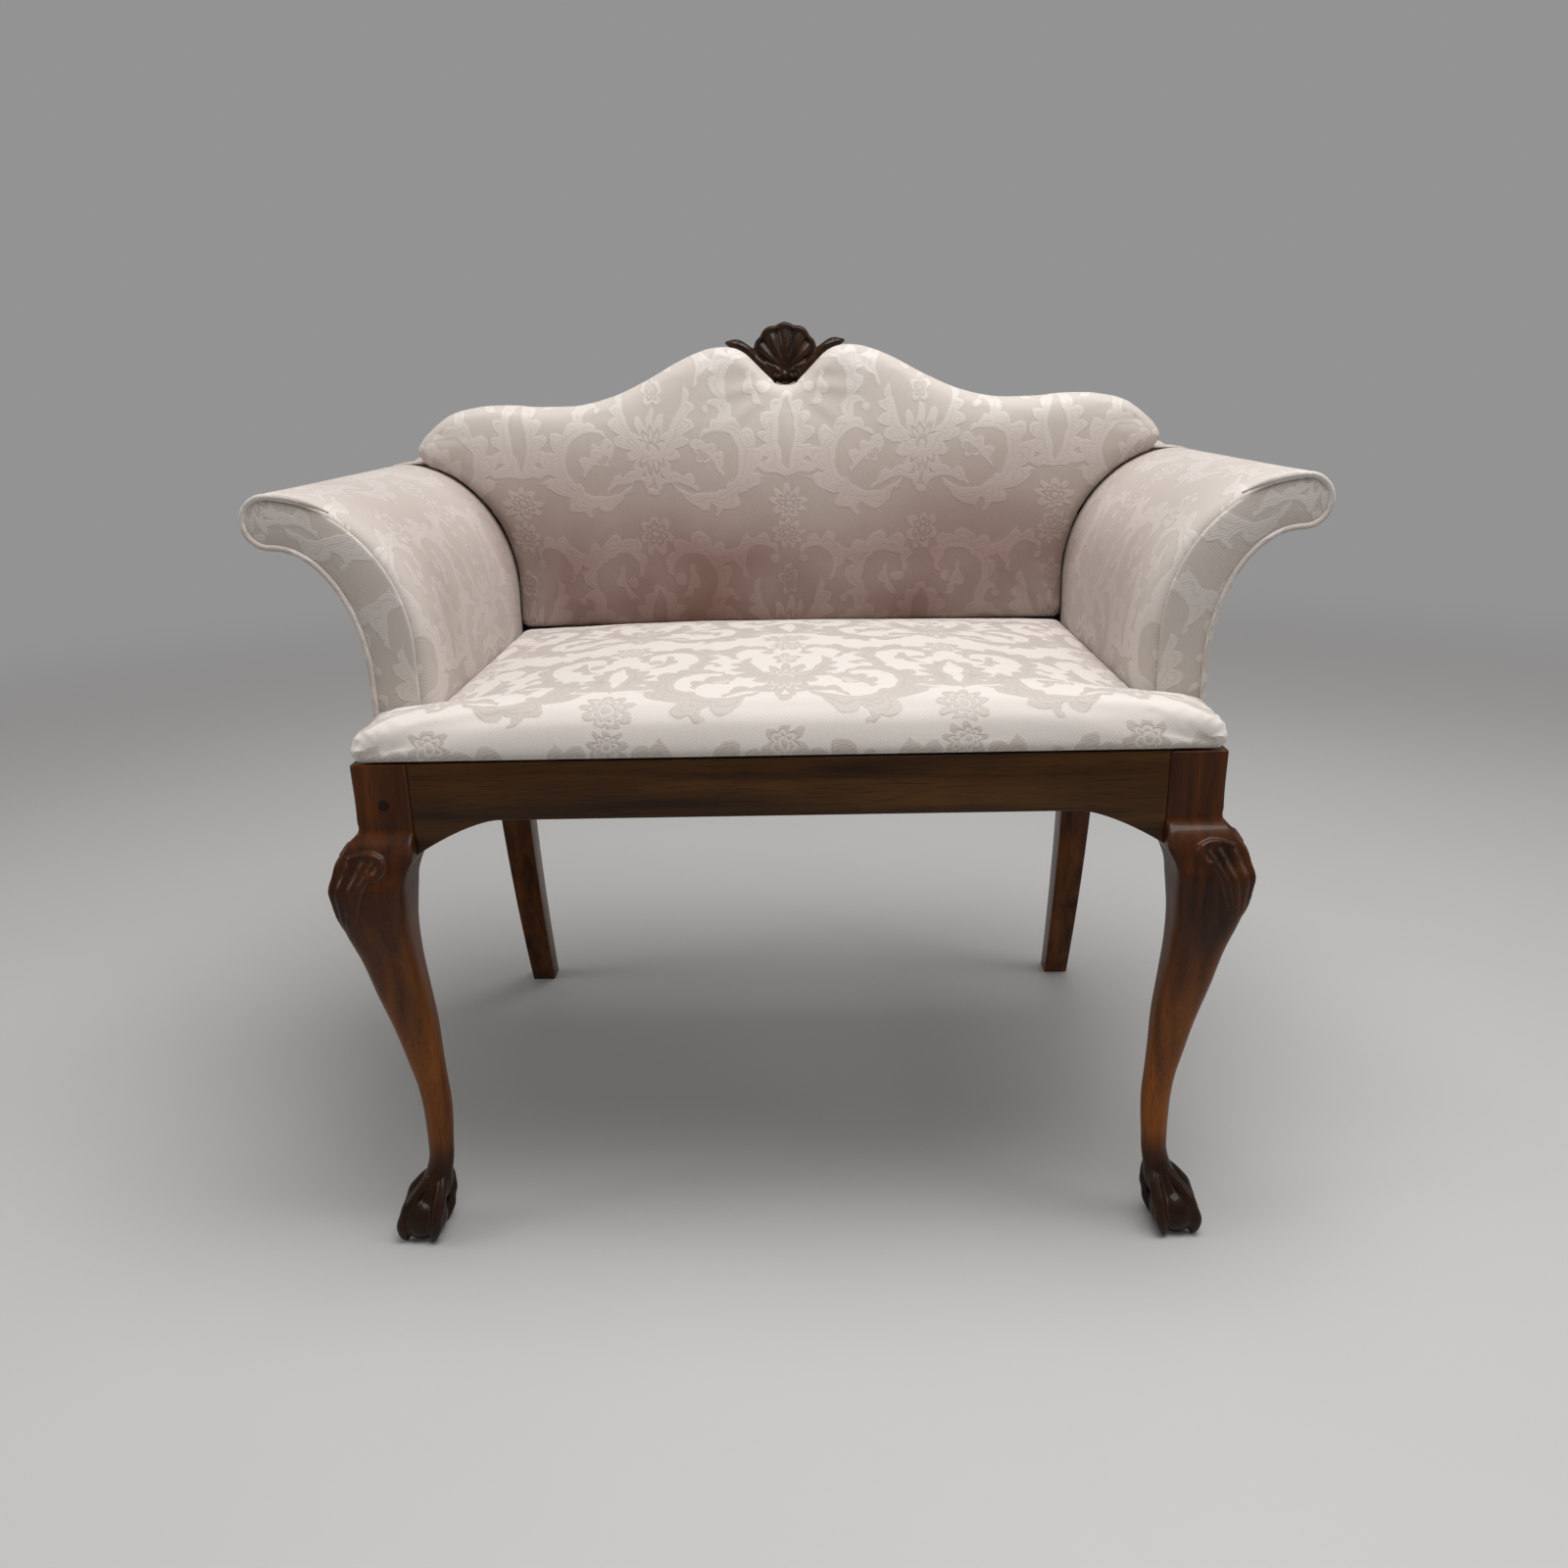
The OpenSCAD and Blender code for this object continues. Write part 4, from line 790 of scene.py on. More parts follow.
def side_rail_shape(s):
    """The same section carried from the front leg to the rear post, dropping only at the front."""
    run = rail_run(s, s.post_front - s.block_w)
    y = s.block_w + run
    outer = s.half_w - s.setback
    x, z = soft_box(outer - s.rail_t, outer, drop_low(s, run), np.full_like(y, s.rail_top), RAIL_EDGE)
    return skin(np.stack([np.broadcast_to(x, z.shape), np.broadcast_to(y[:, None], z.shape), z], -1))


def rear_post_shape(s):
    """A square section that rakes back to the floor by a power curve, tapers, and leans above."""
    bend, stile_h, inset = 0.013, 0.19, 0.003
    z_rail = s.rail_low - bend
    t = np.linspace(1, 0, 60)
    z = np.r_[z_rail * (1 - t), np.linspace(z_rail + 0.006, s.rail_top - 0.001, 8),
              np.linspace(s.rail_top + 0.001, s.rail_top + stile_h, 12)]
    rake = np.r_[t ** 1.7, np.zeros(len(z) - len(t))]
    foot = s.seat_d - s.post_w / 2 + s.foot_kick
    above = z > s.rail_top
    lean = np.where(above, (z - s.rail_top) * math.tan(s.lean), 0)
    y0 = mix(s.post_front, foot - s.post_foot_w / 2, rake) + lean
    y1 = mix(s.seat_d, foot + s.post_foot_w / 2, rake)
    y1 = np.where(above, s.rear_outer + lean, y1)
    thin = (s.post_w - s.post_foot_w) / 2 * np.clip(1 - z / z_rail, 0, 1)
    x0, x1 = s.post_inner + thin, s.half_w - thin - np.where(above, inset, 0)
    x, y = soft_box(x0, x1, y0, y1, POST_EDGE)
    return skin(np.stack([x, y, np.broadcast_to(z[:, None], x.shape)], -1))


def leg_rows(s):
    """The leg's table in metres, from LEG up through the knee's bracket and shoulder to its
    block: height, how far its middle stands out, half its width, roundness."""
    bracket = s.rail_low - s.rail_drop
    shoulder = mix(s.rail_low, bracket, 0.3)
    table = LEG * [s.rail_top, s.knee_shift, s.knee_w / 2, 1]
    rows = [[z, k * s.knee_shift, s.block_half + k * s.knee_shift, r] for z, k, r in (
        (bracket, .5, .1), (mix(shoulder, bracket, .4), .28, .05), (shoulder, .02, 0),
        (shoulder + 0.01, 0, 0), (s.rail_top, 0, 0))]
    return np.vstack([table, rows])


def leg_surface(s, z, angle, carving=True):
    """A superellipse about a middle that swings out at the knee and in at the ankle. Its power
    rises from round at the ankle to nearly square at the block. On the knee's outer corner,
    lobes that fan upwards from one tip stand between grooves."""
    shift, half, roundness = eased_row(leg_rows(s), np.ravel(z)).T.reshape(3, *np.shape(z))
    square = 0.5 - np.log2(1 + 0.414 * (1 - np.clip(roundness, 0, 1)))
    power = 1 / np.maximum(square, 0.055)
    cos, sin = np.cos(angle), np.sin(angle)
    r = half / (np.abs(cos) ** power + np.abs(sin) ** power) ** (1 / power)
    if carving:
        tip_z, fan_h, tip_half, fan_half = 0.297, 0.064, 0.006, 0.030
        lobe_depth, swell_h, border_depth = 0.0034, 0.0016, 0.0012
        off = np.abs((np.degrees(angle) + 45 + 180) % 360 - 180) / 45 * KNEE_FACE
        v = (z - tip_z) / fan_h
        span = mix(tip_half, fan_half, np.clip(v, 0, 1) ** 0.7)
        q = off / span
        lobes = np.abs(np.cos(np.pi * 3.0 * q))
        edge = ease(1.06, 0.94, q) * ease(0, 0.1, v) * ease(1.02, 0.93, v)
        swell = swell_h * np.sin(np.pi * np.clip(v, 0, 1))
        r = r + edge * (swell + lobe_depth * (np.sqrt(lobes) - 0.75))
        border = np.exp(-((q - 1.09) / 0.07) ** 2) * ease(0.02, 0.15, v) * ease(1.05, 0.9, v)
        r = r - border_depth * border
    return np.stack([s.block_x + shift + r * cos, s.block_half - shift + r * sin, z], -1)


def front_leg_shape(s):
    """The leg's surface, a ball, four talons and the scrolls beside the knee's lobes."""
    angle = np.linspace(0, 2 * np.pi, 200, endpoint=False)
    z = np.linspace(LEG[0, 0] * s.rail_top, s.rail_top, 300)
    zz, aa = np.meshgrid(z, angle, indexing="ij")
    parts = [skin(leg_surface(s, zz, aa))]
    shift = 0.8 * s.knee_shift
    flat_below = 0.003
    ball = np.array([s.block_x + shift, s.block_half - shift, s.ball_r - flat_below])
    lat = np.linspace(-np.pi / 2, np.pi / 2, 40)[1:-1, None]
    lon = np.linspace(0, 2 * np.pi, 64, endpoint=False)[None]
    parts.append(skin(ball + s.ball_r * np.stack(
        [np.cos(lat) * np.cos(lon), np.cos(lat) * np.sin(lon), np.sin(lat) + 0 * lon], -1)))
    share = np.linspace(0, len(TALON) - 1, 60)
    grip = eased_row(np.column_stack([np.arange(len(TALON)), TALON]), share)
    ankle = eased_row(leg_rows(s), np.array([s.claw_h]))[0, 0]
    sway = mix(shift, ankle, np.clip(grip[:, 1], 0, 1.2) ** 2)
    for turn in np.radians([-45, 35, -125, 135]):
        path = np.stack([s.block_x + sway + grip[:, 0] * s.ball_r * np.cos(turn),
                         s.block_half - sway + grip[:, 0] * s.ball_r * np.sin(turn),
                         grip[:, 1] * s.claw_h], -1)
        parts.append(tube(path, grip[:, 2] * s.talon_t / 2, [-math.sin(turn), math.cos(turn), 0], 24))
    n, sunk, slight, stout = 80, 0.0004, 0.0016, 0.0032
    hook = paced(HOOK, count=60)
    hook = eased_row(np.column_stack([np.arange(60), hook]), np.linspace(0, 59, n))
    hook = paced(hook, count=n)
    thick = mix(slight, stout, np.sin(np.linspace(0.1, 1, n) * np.pi * 0.8))
    for side in (-1, 1):
        angle = np.radians(-45 + side * hook[:, 0] / KNEE_FACE * 45)
        path = leg_surface(s, hook[:, 1], angle, carving=False)
        facing = [0, -1, 0] if side < 0 else [1, 0, 0]
        parts.append(tube(path - np.array(facing) * sunk, thick, facing, 14))
    return joined(*parts)


def inner_arm(s, d0, d1):
    """Up an arm's inner side: straight from the seat, then a quarter ellipse to the roll's top.
    It lies d0 inside the arm's face below and d1 above."""
    t = np.linspace(0, 1, 60)
    d = mix(d0, d1, t)
    a = t * np.pi / 2
    curve = np.stack([s.roll_x - (s.roll_x - s.arm_in - d) * np.cos(a),
                      s.curl_in_z + (s.arm_top - s.curl_in_z - d) * np.sin(a)], -1)
    return np.vstack([[[s.arm_in + d0, s.pad_low]], curve])


def roll(s, d, n=40):
    """Half a turn round the roll, from its top by its outer side to its underside, d inside."""
    a = np.linspace(0, np.pi, n)[1:]
    r = s.roll_r - d
    return np.stack([s.roll_x + r * np.sin(a), s.roll_z + r * np.cos(a)], -1)


def outer_arm(s, d0, d1, start=90.0):
    """Down an arm's outer side: a quarter ellipse from the roll's underside, then straight. It
    lies d0 inside the arm's face above and d1 below."""
    t = np.linspace(0, 1, 50)
    d = mix(d0, d1, t)
    a = np.radians(start) * (1 - t)
    curve = np.stack([s.roll_x - (s.roll_x - s.half_w + d) * np.cos(a),
                      s.curl_out_z + (s.roll_z - s.roll_r - s.curl_out_z + d) * np.sin(a)], -1)
    return np.vstack([curve, [[s.half_w - d1, s.rail_top + s.gap]]])


def arm_pad_shape(s):
    """The padded cover: its section carried back to the leaning frame, eased in at the front.
    The cloth runs up the arm and over the roll, so that is its length."""
    outer_n = inner_n = 84
    thick, round_in, round_y, round_n = 0.0077, 0.0125, 0.015, 12
    run = np.linspace(0, 1, 58)
    rings, across, up = [], [], []
    top = lengths(paced(np.vstack([inner_arm(s, 0, 0), roll(s, 0)]), count=outer_n))
    lining = np.vstack([inner_arm(s, s.arm_t - s.post_w - s.gap, thick), roll(s, thick)])
    inner = paced(lining, count=inner_n)
    for k in range(round_n + len(run)):
        turn = min(k / round_n, 1) * math.pi / 2
        d = round_in * (1 - math.sin(turn))
        outer = paced(np.vstack([inner_arm(s, d, 0.5 * d), roll(s, 0.25 * d)]), count=outer_n)
        ring = np.vstack([outer, inner[::-1]])
        back = s.back_face + (ring[:, 1] - s.rail_top) * math.tan(s.lean)
        start = s.arm_front + round_y * (1 - math.cos(turn))
        y = start if k < round_n else start + run[k - round_n] * (back - start)
        y = np.broadcast_to(y, len(ring))
        rings.append(np.stack([ring[:, 0], y, ring[:, 1]], -1))
        across.append(y)
        up.append(np.r_[top, top[-1] + np.linspace(0.008, 0.3, inner_n)])
    uv = np.stack([np.array(across), np.array(up)], -1).reshape(-1, 2)
    shape = skin(rings, thin=True)
    # Tacked all over the lining, along both of the cover's edges, and round the arm's ends
    held = np.zeros((round_n + len(run), outer_n + inner_n))
    held[:, outer_n - 6:] = 1
    held[:, :3] = 1
    held[:2] = 1
    held[-2:] = 1
    return shape, uv, held.ravel()


def facing_shape(s):
    """The front panel between an arm's inner and outer edges, domed 2 mm at its middle."""
    d = s.welt_d * 0.7
    n, m, dome_h, low_inset, high_inset = 90, 26, 0.0022, 0.011, 0.0055
    inside = paced(np.vstack([inner_arm(s, low_inset, high_inset), roll(s, d, 20)[:8]]), count=n)
    outside = paced(outer_arm(s, d, d)[::-1], count=n)
    outside = paced(np.vstack([outside, roll(s, d, 24)[::-1][:14]]), count=n)
    t = np.linspace(0, 1, m)[None, :, None]
    flat = mix(inside[:, None], outside[:, None], t)
    upright = np.sin(np.pi * np.linspace(0.02, 0.96, n))[:, None] ** 0.4
    dome = dome_h * np.sin(np.pi * t[..., 0]) ** 0.7 * upright
    front = np.stack([flat[..., 0], s.arm_front - s.gap - s.panel - dome, flat[..., 1]], -1)
    back = np.stack([flat[..., 0], np.full((n, m), s.arm_front - s.gap), flat[..., 1]], -1)
    rings = np.concatenate([front, back[:, ::-1]], axis=1)
    shape = skin(rings)
    uv = np.concatenate([flat, flat[:, ::-1]], axis=1).reshape(-1, 2)
    return shape, np.vstack([uv, uv[:2]])


def outside_arm_shape(s):
    """A panel 2.4 mm thick that follows the arm's outer curve back to the leaning frame."""
    top = math.degrees(math.acos(s.gap / (s.roll_x - s.half_w)))
    face, lining = (paced(outer_arm(s, d, d, top), count=60) for d in (0, s.panel))
    ring = np.vstack([face, lining[::-1]])
    run = np.linspace(0, 1, 66)[:, None]
    back = s.rear_outer + (ring[:, 1] - s.rail_top) * math.tan(s.lean)
    y = s.arm_front + run * (back - s.arm_front)[None]
    rings = np.stack([np.broadcast_to(ring[:, 0], y.shape), y, np.broadcast_to(ring[:, 1], y.shape)], -1)
    up = np.r_[-lengths(face), -lengths(face)[::-1]]
    return skin(rings, thin=True), np.stack([y, np.broadcast_to(up, y.shape)], -1).reshape(-1, 2)


def wing_cover_shape(s):
    """The cloth that goes on from an arm's roll over the edge of the back frame: half a turn
    round the roll, 1.6 mm thick, carried from the arm's cover to the outside back."""
    proud, sunk, overlap = 0.0004, 0.0012, 0.0006

    def line(d):
        lead_x = np.linspace(s.ear_half - 0.012, s.roll_x - 0.001, 8)
        lead = np.column_stack([lead_x, np.full(len(lead_x), s.arm_top - d + 0.0005)])
        tail = outer_arm(s, d, d)[1:4]
        return paced(np.vstack([lead, roll(s, d - 0.0003, 60), tail]), count=90)
    face, lining = line(-proud), line(sunk)
    ring = np.vstack([face, lining[::-1]])
    run = np.linspace(0, 1, 14)[:, None]
    tilt = (ring[:, 1] - s.rail_top) * math.tan(s.lean)
    y = mix(s.back_face - overlap, s.rear_outer + s.gap + s.panel * 0.9, run) + tilt
    rings = np.stack([np.broadcast_to(ring[:, 0], y.shape), y, np.broadcast_to(ring[:, 1], y.shape)], -1)
    start = lengths(inner_arm(s, 0, 0))[-1] - 0.03
    up = start + np.r_[lengths(face), lengths(face)[::-1]]
    return skin(rings, thin=True), np.stack([y, np.broadcast_to(up, y.shape)], -1).reshape(-1, 2)


def welt_shape(s):
    """A covered cord up the arm's outer edge, round the roll and over its top, with its tail
    sinking into the cover."""
    r, sides, tail = s.welt_d / 2, 18, 0.02
    over = inner_arm(s, r, r)[::-1]
    over = over[over[:, 0] > s.roll_x - s.arm_t]
    path = np.vstack([outer_arm(s, r, r)[::-1], roll(s, r)[::-1][:-1], over])
    path = paced(path, step=0.0025)
    run = lengths(path)
    thick = r * mix(0.35, 1, ease(0, tail, run[-1] - run))
    points = np.stack([path[:, 0], np.full(len(path), s.arm_setback + r), path[:, 1]], -1)
    shape = tube(points, thick, [0, 1, 0], sides)
    turn = np.linspace(0, 2 * np.pi * r, sides, endpoint=False)
    uv = np.stack(np.broadcast_arrays(turn[None], run[:, None]), -1).reshape(-1, 2) * [3, 1]
    return shape, np.vstack([uv, uv[:2]])


def crest_line(s, step):
    """The crest's outline from the right ear to the left one."""
    x = np.r_[np.linspace(0, 0.3, 160), np.linspace(0.305, 0.95, 150), np.linspace(0.952, 1, 40)]
    right = np.column_stack([x * s.ear_half, s.rail_top + eased_row(CREST, x)[:, 0] * s.back_h])
    return paced(np.vstack([right[::-1], right[1:] * [-1, 1]]), step=step)


# From point to point along the back's outlines, the line at which its soft edge begins, and the
# radius of that edge
FACE_STEP, EDGE_IN, EDGE_R = 0.0045, 0.001, 0.013


def back_shape(s):
    """The inside back: its outline drawn in by stages over a rounded edge, then swelling to a
    crown. Over the crest its edge turns back across the top of the frame."""
    side = inner_arm(s, -s.gap, -s.gap)
    side = side[(side[:, 0] < s.ear_half - s.rim_t) & (side[:, 1] > s.back_low)]
    foot = np.column_stack([np.linspace(0, s.arm_in - s.gap, 12), np.full(12, s.back_low)])
    right = paced(np.vstack([foot, side]), step=FACE_STEP)
    crest = crest_line(s, FACE_STEP)
    outline = np.vstack([right, crest, right[::-1][:-1] * [-1, 1]])
    wraps = np.zeros(len(outline), bool)
    wraps[len(right):len(right) + len(crest)] = True
    wraps &= np.abs(outline[:, 0]) > 0.013
    rim = paced(outline, step=FACE_STEP, closed=True)
    nearest = np.argmin(np.linalg.norm(rim[:, None] - outline[None], axis=2), axis=1)
    wraps = wraps[nearest]
    inward = -outward(rim, closed=True)
    edge_y = s.back_face - EDGE_IN
    front_y = s.back_face - s.back_pad_t
    middle = np.array([0, mix(s.back_low, s.rail_top + s.back_h, 0.38)])
    rings = []

    def ring(d, y, scale=1.0):
        flat = middle + (rim + inward * np.reshape(d, (-1, 1)) - middle) * scale
        rings.append(np.stack([flat[:, 0], np.broadcast_to(y, len(rim)), flat[:, 1]], -1))

    # Over the frame's front, back along its top where the cover wraps it, and forward again
    ring(s.rim_t, s.back_face)
    ring(0.0045, np.where(wraps, s.back_face + 0.002, s.back_face))
    rear_y = np.where(wraps, s.rear_outer, s.back_face)
    ring(np.where(wraps, s.rim_t, 0.003), rear_y)
    ring(np.where(wraps, 0.002, 0.001), rear_y)
    for t in (0.04, 0.3, 0.55, 0.8, 1.0):
        ring(0.0, mix(np.where(wraps, s.rear_outer, s.back_face - 0.0002), edge_y, t))
    for a in np.linspace(0, 90, 9)[1:]:
        c, k = math.cos(math.radians(a)), math.sin(math.radians(a))
        ring(EDGE_R * (1 - c), edge_y - (edge_y - front_y) * k)
    for scale in np.r_[np.linspace(0.985, 0.2, 44), 0.15, 0.1, 0.06]:
        ring(EDGE_R, front_y, scale)
    rings = np.array(rings)
    swell = np.clip(1 - np.abs(rings[..., 0] / s.ear_half) ** 2.2, 0, 1)
    rise = (rings[..., 2] - s.back_low) / (s.back_h * 0.9)
    swell *= np.clip(1 - np.abs(2 * rise - 1) ** 2.2, 0, 1)
    rings[..., 1] -= s.back_crown * swell * ease(front_y + 0.004, front_y, rings[..., 1])
    # The dip pulls the cover in round the shell
    pull_in, pull_wide, pull_high = 0.006, 0.034, 0.03
    pull = np.exp(-((rings[..., 0] / pull_wide) ** 2) - ((rings[..., 2] - s.dip_z) / pull_high) ** 2)
    rings[..., 1] += pull_in * pull * (rings[..., 1] < edge_y)
    return skin(lean_back(s, rings))


def back_cloth(s, points):
    """Where the inside back's points lie on the cloth, which runs up it and over the crest, and
    how firmly each is held: all but the face and its soft edge."""
    p = lean_back(s, points, -1)
    edge_y = s.back_face - EDGE_IN
    up = p[:, 2] + np.maximum(p[:, 1] - edge_y, 0) * (p[:, 2] > s.back_low + 0.1)
    round_edge = ease(edge_y - 0.004, edge_y - 0.001, p[:, 1])
    foot = ease(s.back_low + 0.007, s.back_low + 0.003, p[:, 2])
    shell = np.hypot(p[:, 0], p[:, 2] - s.dip_z) < 0.03
    return np.stack([p[:, 0], up], -1), np.maximum(np.maximum(round_edge, foot), shell)


def seat_shape(s):
    """The tight seat: a rounded section carried back from a half-round nose, swelling to a
    crown, and narrowing where the arms begin."""
    # The nose stands proud of the rail, and is round above and tighter below
    proud, top_run, low_run = 0.002, 0.012, 0.003
    top_y, low_y = top_run - proud, low_run - proud
    front_r, beside_r, under_in, side_in, corner = 0.015, 0.007, 0.004, 0.0005, 0.004
    y_nose = -proud + top_run * (1 - np.cos(np.linspace(0, np.pi / 2, 14)))
    y = np.r_[y_nose, np.linspace(0.0145, s.arm_setback - 0.001, 11), s.arm_setback - 0.0004,
              np.linspace(s.arm_setback + 0.002, s.back_face - 0.001, 66)]
    mid_z = mix(s.rail_top, s.seat_edge, 0.42)
    above = np.sqrt(np.clip(1 - ((top_y - y) / top_run) ** 2, 0, 1))
    high = np.where(y < top_y, mid_z + (s.seat_edge - mid_z) * above, s.seat_edge)
    under = s.rail_top + s.gap
    below = np.sqrt(np.clip(1 - ((low_y - y) / low_run) ** 2, 0, 1))
    low = np.where(y < low_y, mid_z - (mid_z - under) * below, under)
    low = np.where(y > 0.008, s.pad_low, low)
    wide = s.half_w - corner * np.clip(1 - (y + proud) / top_y, 0, 1) ** 2
    w = np.where(y < s.arm_setback - 0.0002, wide, s.arm_in - s.gap)
    v = np.clip(y / s.back_face, 0, 1)
    crown = s.seat_crown * np.sin(np.pi * v ** 0.8) ** 0.6
    crown[v >= 1] = 0
    beside = ease(s.arm_setback - 0.02, s.arm_setback + 0.02, y)
    r = np.minimum(mix(front_r, beside_r, beside), (high - low) * 0.6)
    w, high, low, crown, r = (q[:, None] for q in (w, high, low, crown, r))
    side = np.linspace(0, np.pi / 2, 8)[None]
    span = np.linspace(1, -1, 119)[None, 1:-1]
    base = np.linspace(-1, 1, 40)[None]
    flank = w - side_in + 0 * r
    x = np.hstack([base * (w - under_in), flank, w - r + r * np.cos(side), span * (w - r),
                   -(w - r + r * np.cos(side[:, ::-1])), -flank])
    z = np.hstack([low + 0 * base, mix(low, high, 0.2), high - r + r * np.sin(side),
                   high + crown * (1 - np.abs(span) ** 3), high - r + r * np.sin(side[:, ::-1]),
                   mix(low, high, 0.2)])
    rings = np.stack([x, np.broadcast_to(y[:, None], x.shape), z], -1)
    return skin(rings)


def seat_cloth(s, points):
    """Where the seat's points lie on the cloth, which runs forward over the seat and down its
    face, and how firmly each is held: under the seat and beside the arms and the back."""
    x, y, z = points.T
    drop = np.maximum(s.seat_edge - z, 0)
    front = ease(0.014, 0.002, y)
    side = ease(s.half_w - 0.012, s.half_w - 0.003, np.abs(x)) * ease(0.0, 0.01, y)
    uv = np.stack([x + np.sign(x) * drop * side, y - drop * front], -1)
    under = ease(s.rail_top + 0.009, s.rail_top + 0.005, z)
    past_front = ease(s.arm_setback - 0.006, s.arm_setback, y)
    beside = ease(s.arm_in - 0.014, s.arm_in - 0.008, np.abs(x)) * past_front
    behind = ease(s.back_face - 0.012, s.back_face - 0.007, y)
    return uv, np.maximum(np.maximum(under, beside), behind)


def outside_back_shape(s):
    """A panel with the crest's outline and the ends of the arms' rolls, drawn out from a middle."""
    side = outer_arm(s, 0, 0)[::-1]
    end = roll(s, 0)[::-1]
    end = end[(end[:, 0] > s.ear_half + s.rim_t)]
    crest = crest_line(s, 0.003)
    right = np.vstack([side, end])
    foot = [[0, s.rail_top + s.gap]]
    outline = paced(np.vstack([foot, right, crest, right[::-1] * [-1, 1]]), step=FACE_STEP, closed=True)
    middle = np.array([0, 0.56])
    # Shares of the outline: out over the face that lies on the frame, and back over the other
    out, back = np.array([0.1, 0.5, 0.9, 1]), np.r_[1, 0.995, 0.985, np.linspace(0.96, 0.1, 30)]
    flat = middle + (outline - middle) * np.r_[out, back][:, None, None]
    thick = s.panel * np.r_[0 * out, np.where(back < 0.99, 1, 0.75)]
    deep = np.broadcast_to(s.rear_outer + s.gap + thick[:, None], flat.shape[:2])
    points = np.stack([flat[..., 0], deep, flat[..., 1]], -1)
    uv = flat.reshape(-1, 2)
    return skin(lean_back(s, points)), np.vstack([uv, uv[:1], uv[-1:]])


def crest_shape(s):
    """The shell is drawn by angle round its foot: an egg whose rim waves with its ribs, domed,
    with a raised border. Two scrolls stand on its foot, and a leaf lies on each hump."""
    turn = np.radians(np.linspace(-180, 180, 360, endpoint=False))
    # Where the ribs end on each side, in degrees, and where the border lies, as a share outwards
    fan_end, border_at = 112, 0.93
    thick, dome_h, fall, border_h, groove_h = 0.0085, 0.0035, 0.002, 0.0022, 0.0042
    fan = np.clip(np.abs(np.degrees(turn)) / fan_end, 0, 1)
    phase = s.shell_ribs * (turn + math.radians(fan_end)) / math.radians(2 * fan_end)
    phase = np.where(fan < 1, np.abs(np.sin(phase * np.pi)), 0)
    rim = s.shell_h * eased_row(SHELL, np.abs(np.degrees(turn)))[:, 0] * (0.955 + 0.045 * phase)
    out = np.r_[np.linspace(0.04, 0.88, 44), np.linspace(0.9, 1, 10)][:, None]
    dome = thick + dome_h * np.sin(np.pi * np.clip(out / 0.86, 0, 1)) - fall * out
    border = border_h * np.exp(-((out - border_at) / 0.045) ** 2)
    groove = groove_h * (np.sqrt(phase) - 0.8)[None] * ease(0.16, 0.4, out) * ease(border_at, 0.84, out)
    edge = np.sqrt(np.clip(1 - ((out - border_at) / (1 - border_at)).clip(0, 1) ** 2, 0, 1))
    deep = (dome + border + groove * ease(1, 0.9, fan)[None]) * mix(0.35, 1, edge)
    # The flat back closes the shell by two more rings
    out = np.vstack([out, [[1.0]], [[0.5]]])
    deep = np.vstack([deep, 0 * turn[None], 0 * turn[None]])
    across, up = out * (rim * np.sin(turn)), out * (rim * np.cos(turn))
    parts = [skin(np.stack([across, s.carving_y - deep, s.shell_z + up], -1))]
    t = np.linspace(0, 1, 80)
    crest = crest_line(s, 0.001)
    crest = crest[(crest[:, 0] >= -1e-6) & (crest[:, 0] < s.leaf_half + 0.01)][::-1]
    normal = -outward(crest)
    normal *= np.sign(normal[:, 1:])
    scroll_r = s.shell_h * 0.12 * mix(1, 0.12, t)
    scroll_turn = np.radians(-80 + 430 * t)
    at = np.linspace(0.2, 1, 120)
    x_at = at * s.leaf_half
    base, nx, nz = (np.interp(x_at, crest[:, 0], v) for v in (crest[:, 1], normal[:, 0], normal[:, 1]))
    for side in (-1, 1):
        path = np.stack([side * (s.shell_h * 0.135 + scroll_r * np.cos(scroll_turn)),
                         s.carving_y - mix(0.0085, 0.0125, t),
                         s.shell_z - 0.07 * s.shell_h + scroll_r * np.sin(scroll_turn)], -1)
        parts.append(tube(path, s.shell_h * 0.032 * mix(1, 1.3, t), [0, -1, 0], 12))
        # The leaf's two rows of lobes: how far over the crest, half their height, how far they shift
        for lift, stout, wave in ((0.0034, 0.0052, 0), (0.005, 0.0045, 0.55)):
            lobe = 0.78 + 0.24 * np.abs(np.sin(np.pi * (3.6 * at + wave)))
            swell = stout * lobe * np.sqrt(ease(1.01, 0.8, at))
            path = np.stack([side * (x_at + nx * lift), s.carving_y - 0.005 + wave * 0.004 + 0 * at,
                             base + nz * lift], -1)
            parts.append(tube(path, np.maximum(swell, 0.0005), [0, -1, 0], 14, 1.3))
    points, quads, tris = joined(*parts)
    return lean_back(s, points), quads, tris


# Operators

def both(name, shape, uv=None):
    """Builds the right-hand piece and its mirror image, each with its side's name."""
    right = build("right_" + name, shape, uv)
    left = build("left_" + name, mirrored(shape), None if uv is None else uv * [-1, 1])
    return (right, "right"), (left, "left")


class SETTEE_OT_front_legs(Operator):
    """Carves the front legs and gives them their polish"""
    bl_idname = "settee.front_legs"
    bl_label = "Front legs"

    def execute(self, context):
        s = plan()
        c = context.scene.settee_colours
        wood = french_polished_mahogany("french_polished_mahogany_upright", c.wood_dark[:], c.wood_light[:],
                                        "z", c.wax[:], c.shin[:])
        for obj, side in both("carved_leg", front_leg_shape(s)):
            carved(obj, voxel=0.0011, passes=3)
            points = positions(obj)
            points[:, 2] = np.maximum(points[:, 2], 0)
            move_points(obj, points)
            finish_piece(obj, wood, "polished_mahogany", side + "_front_leg")
        return {"FINISHED"}


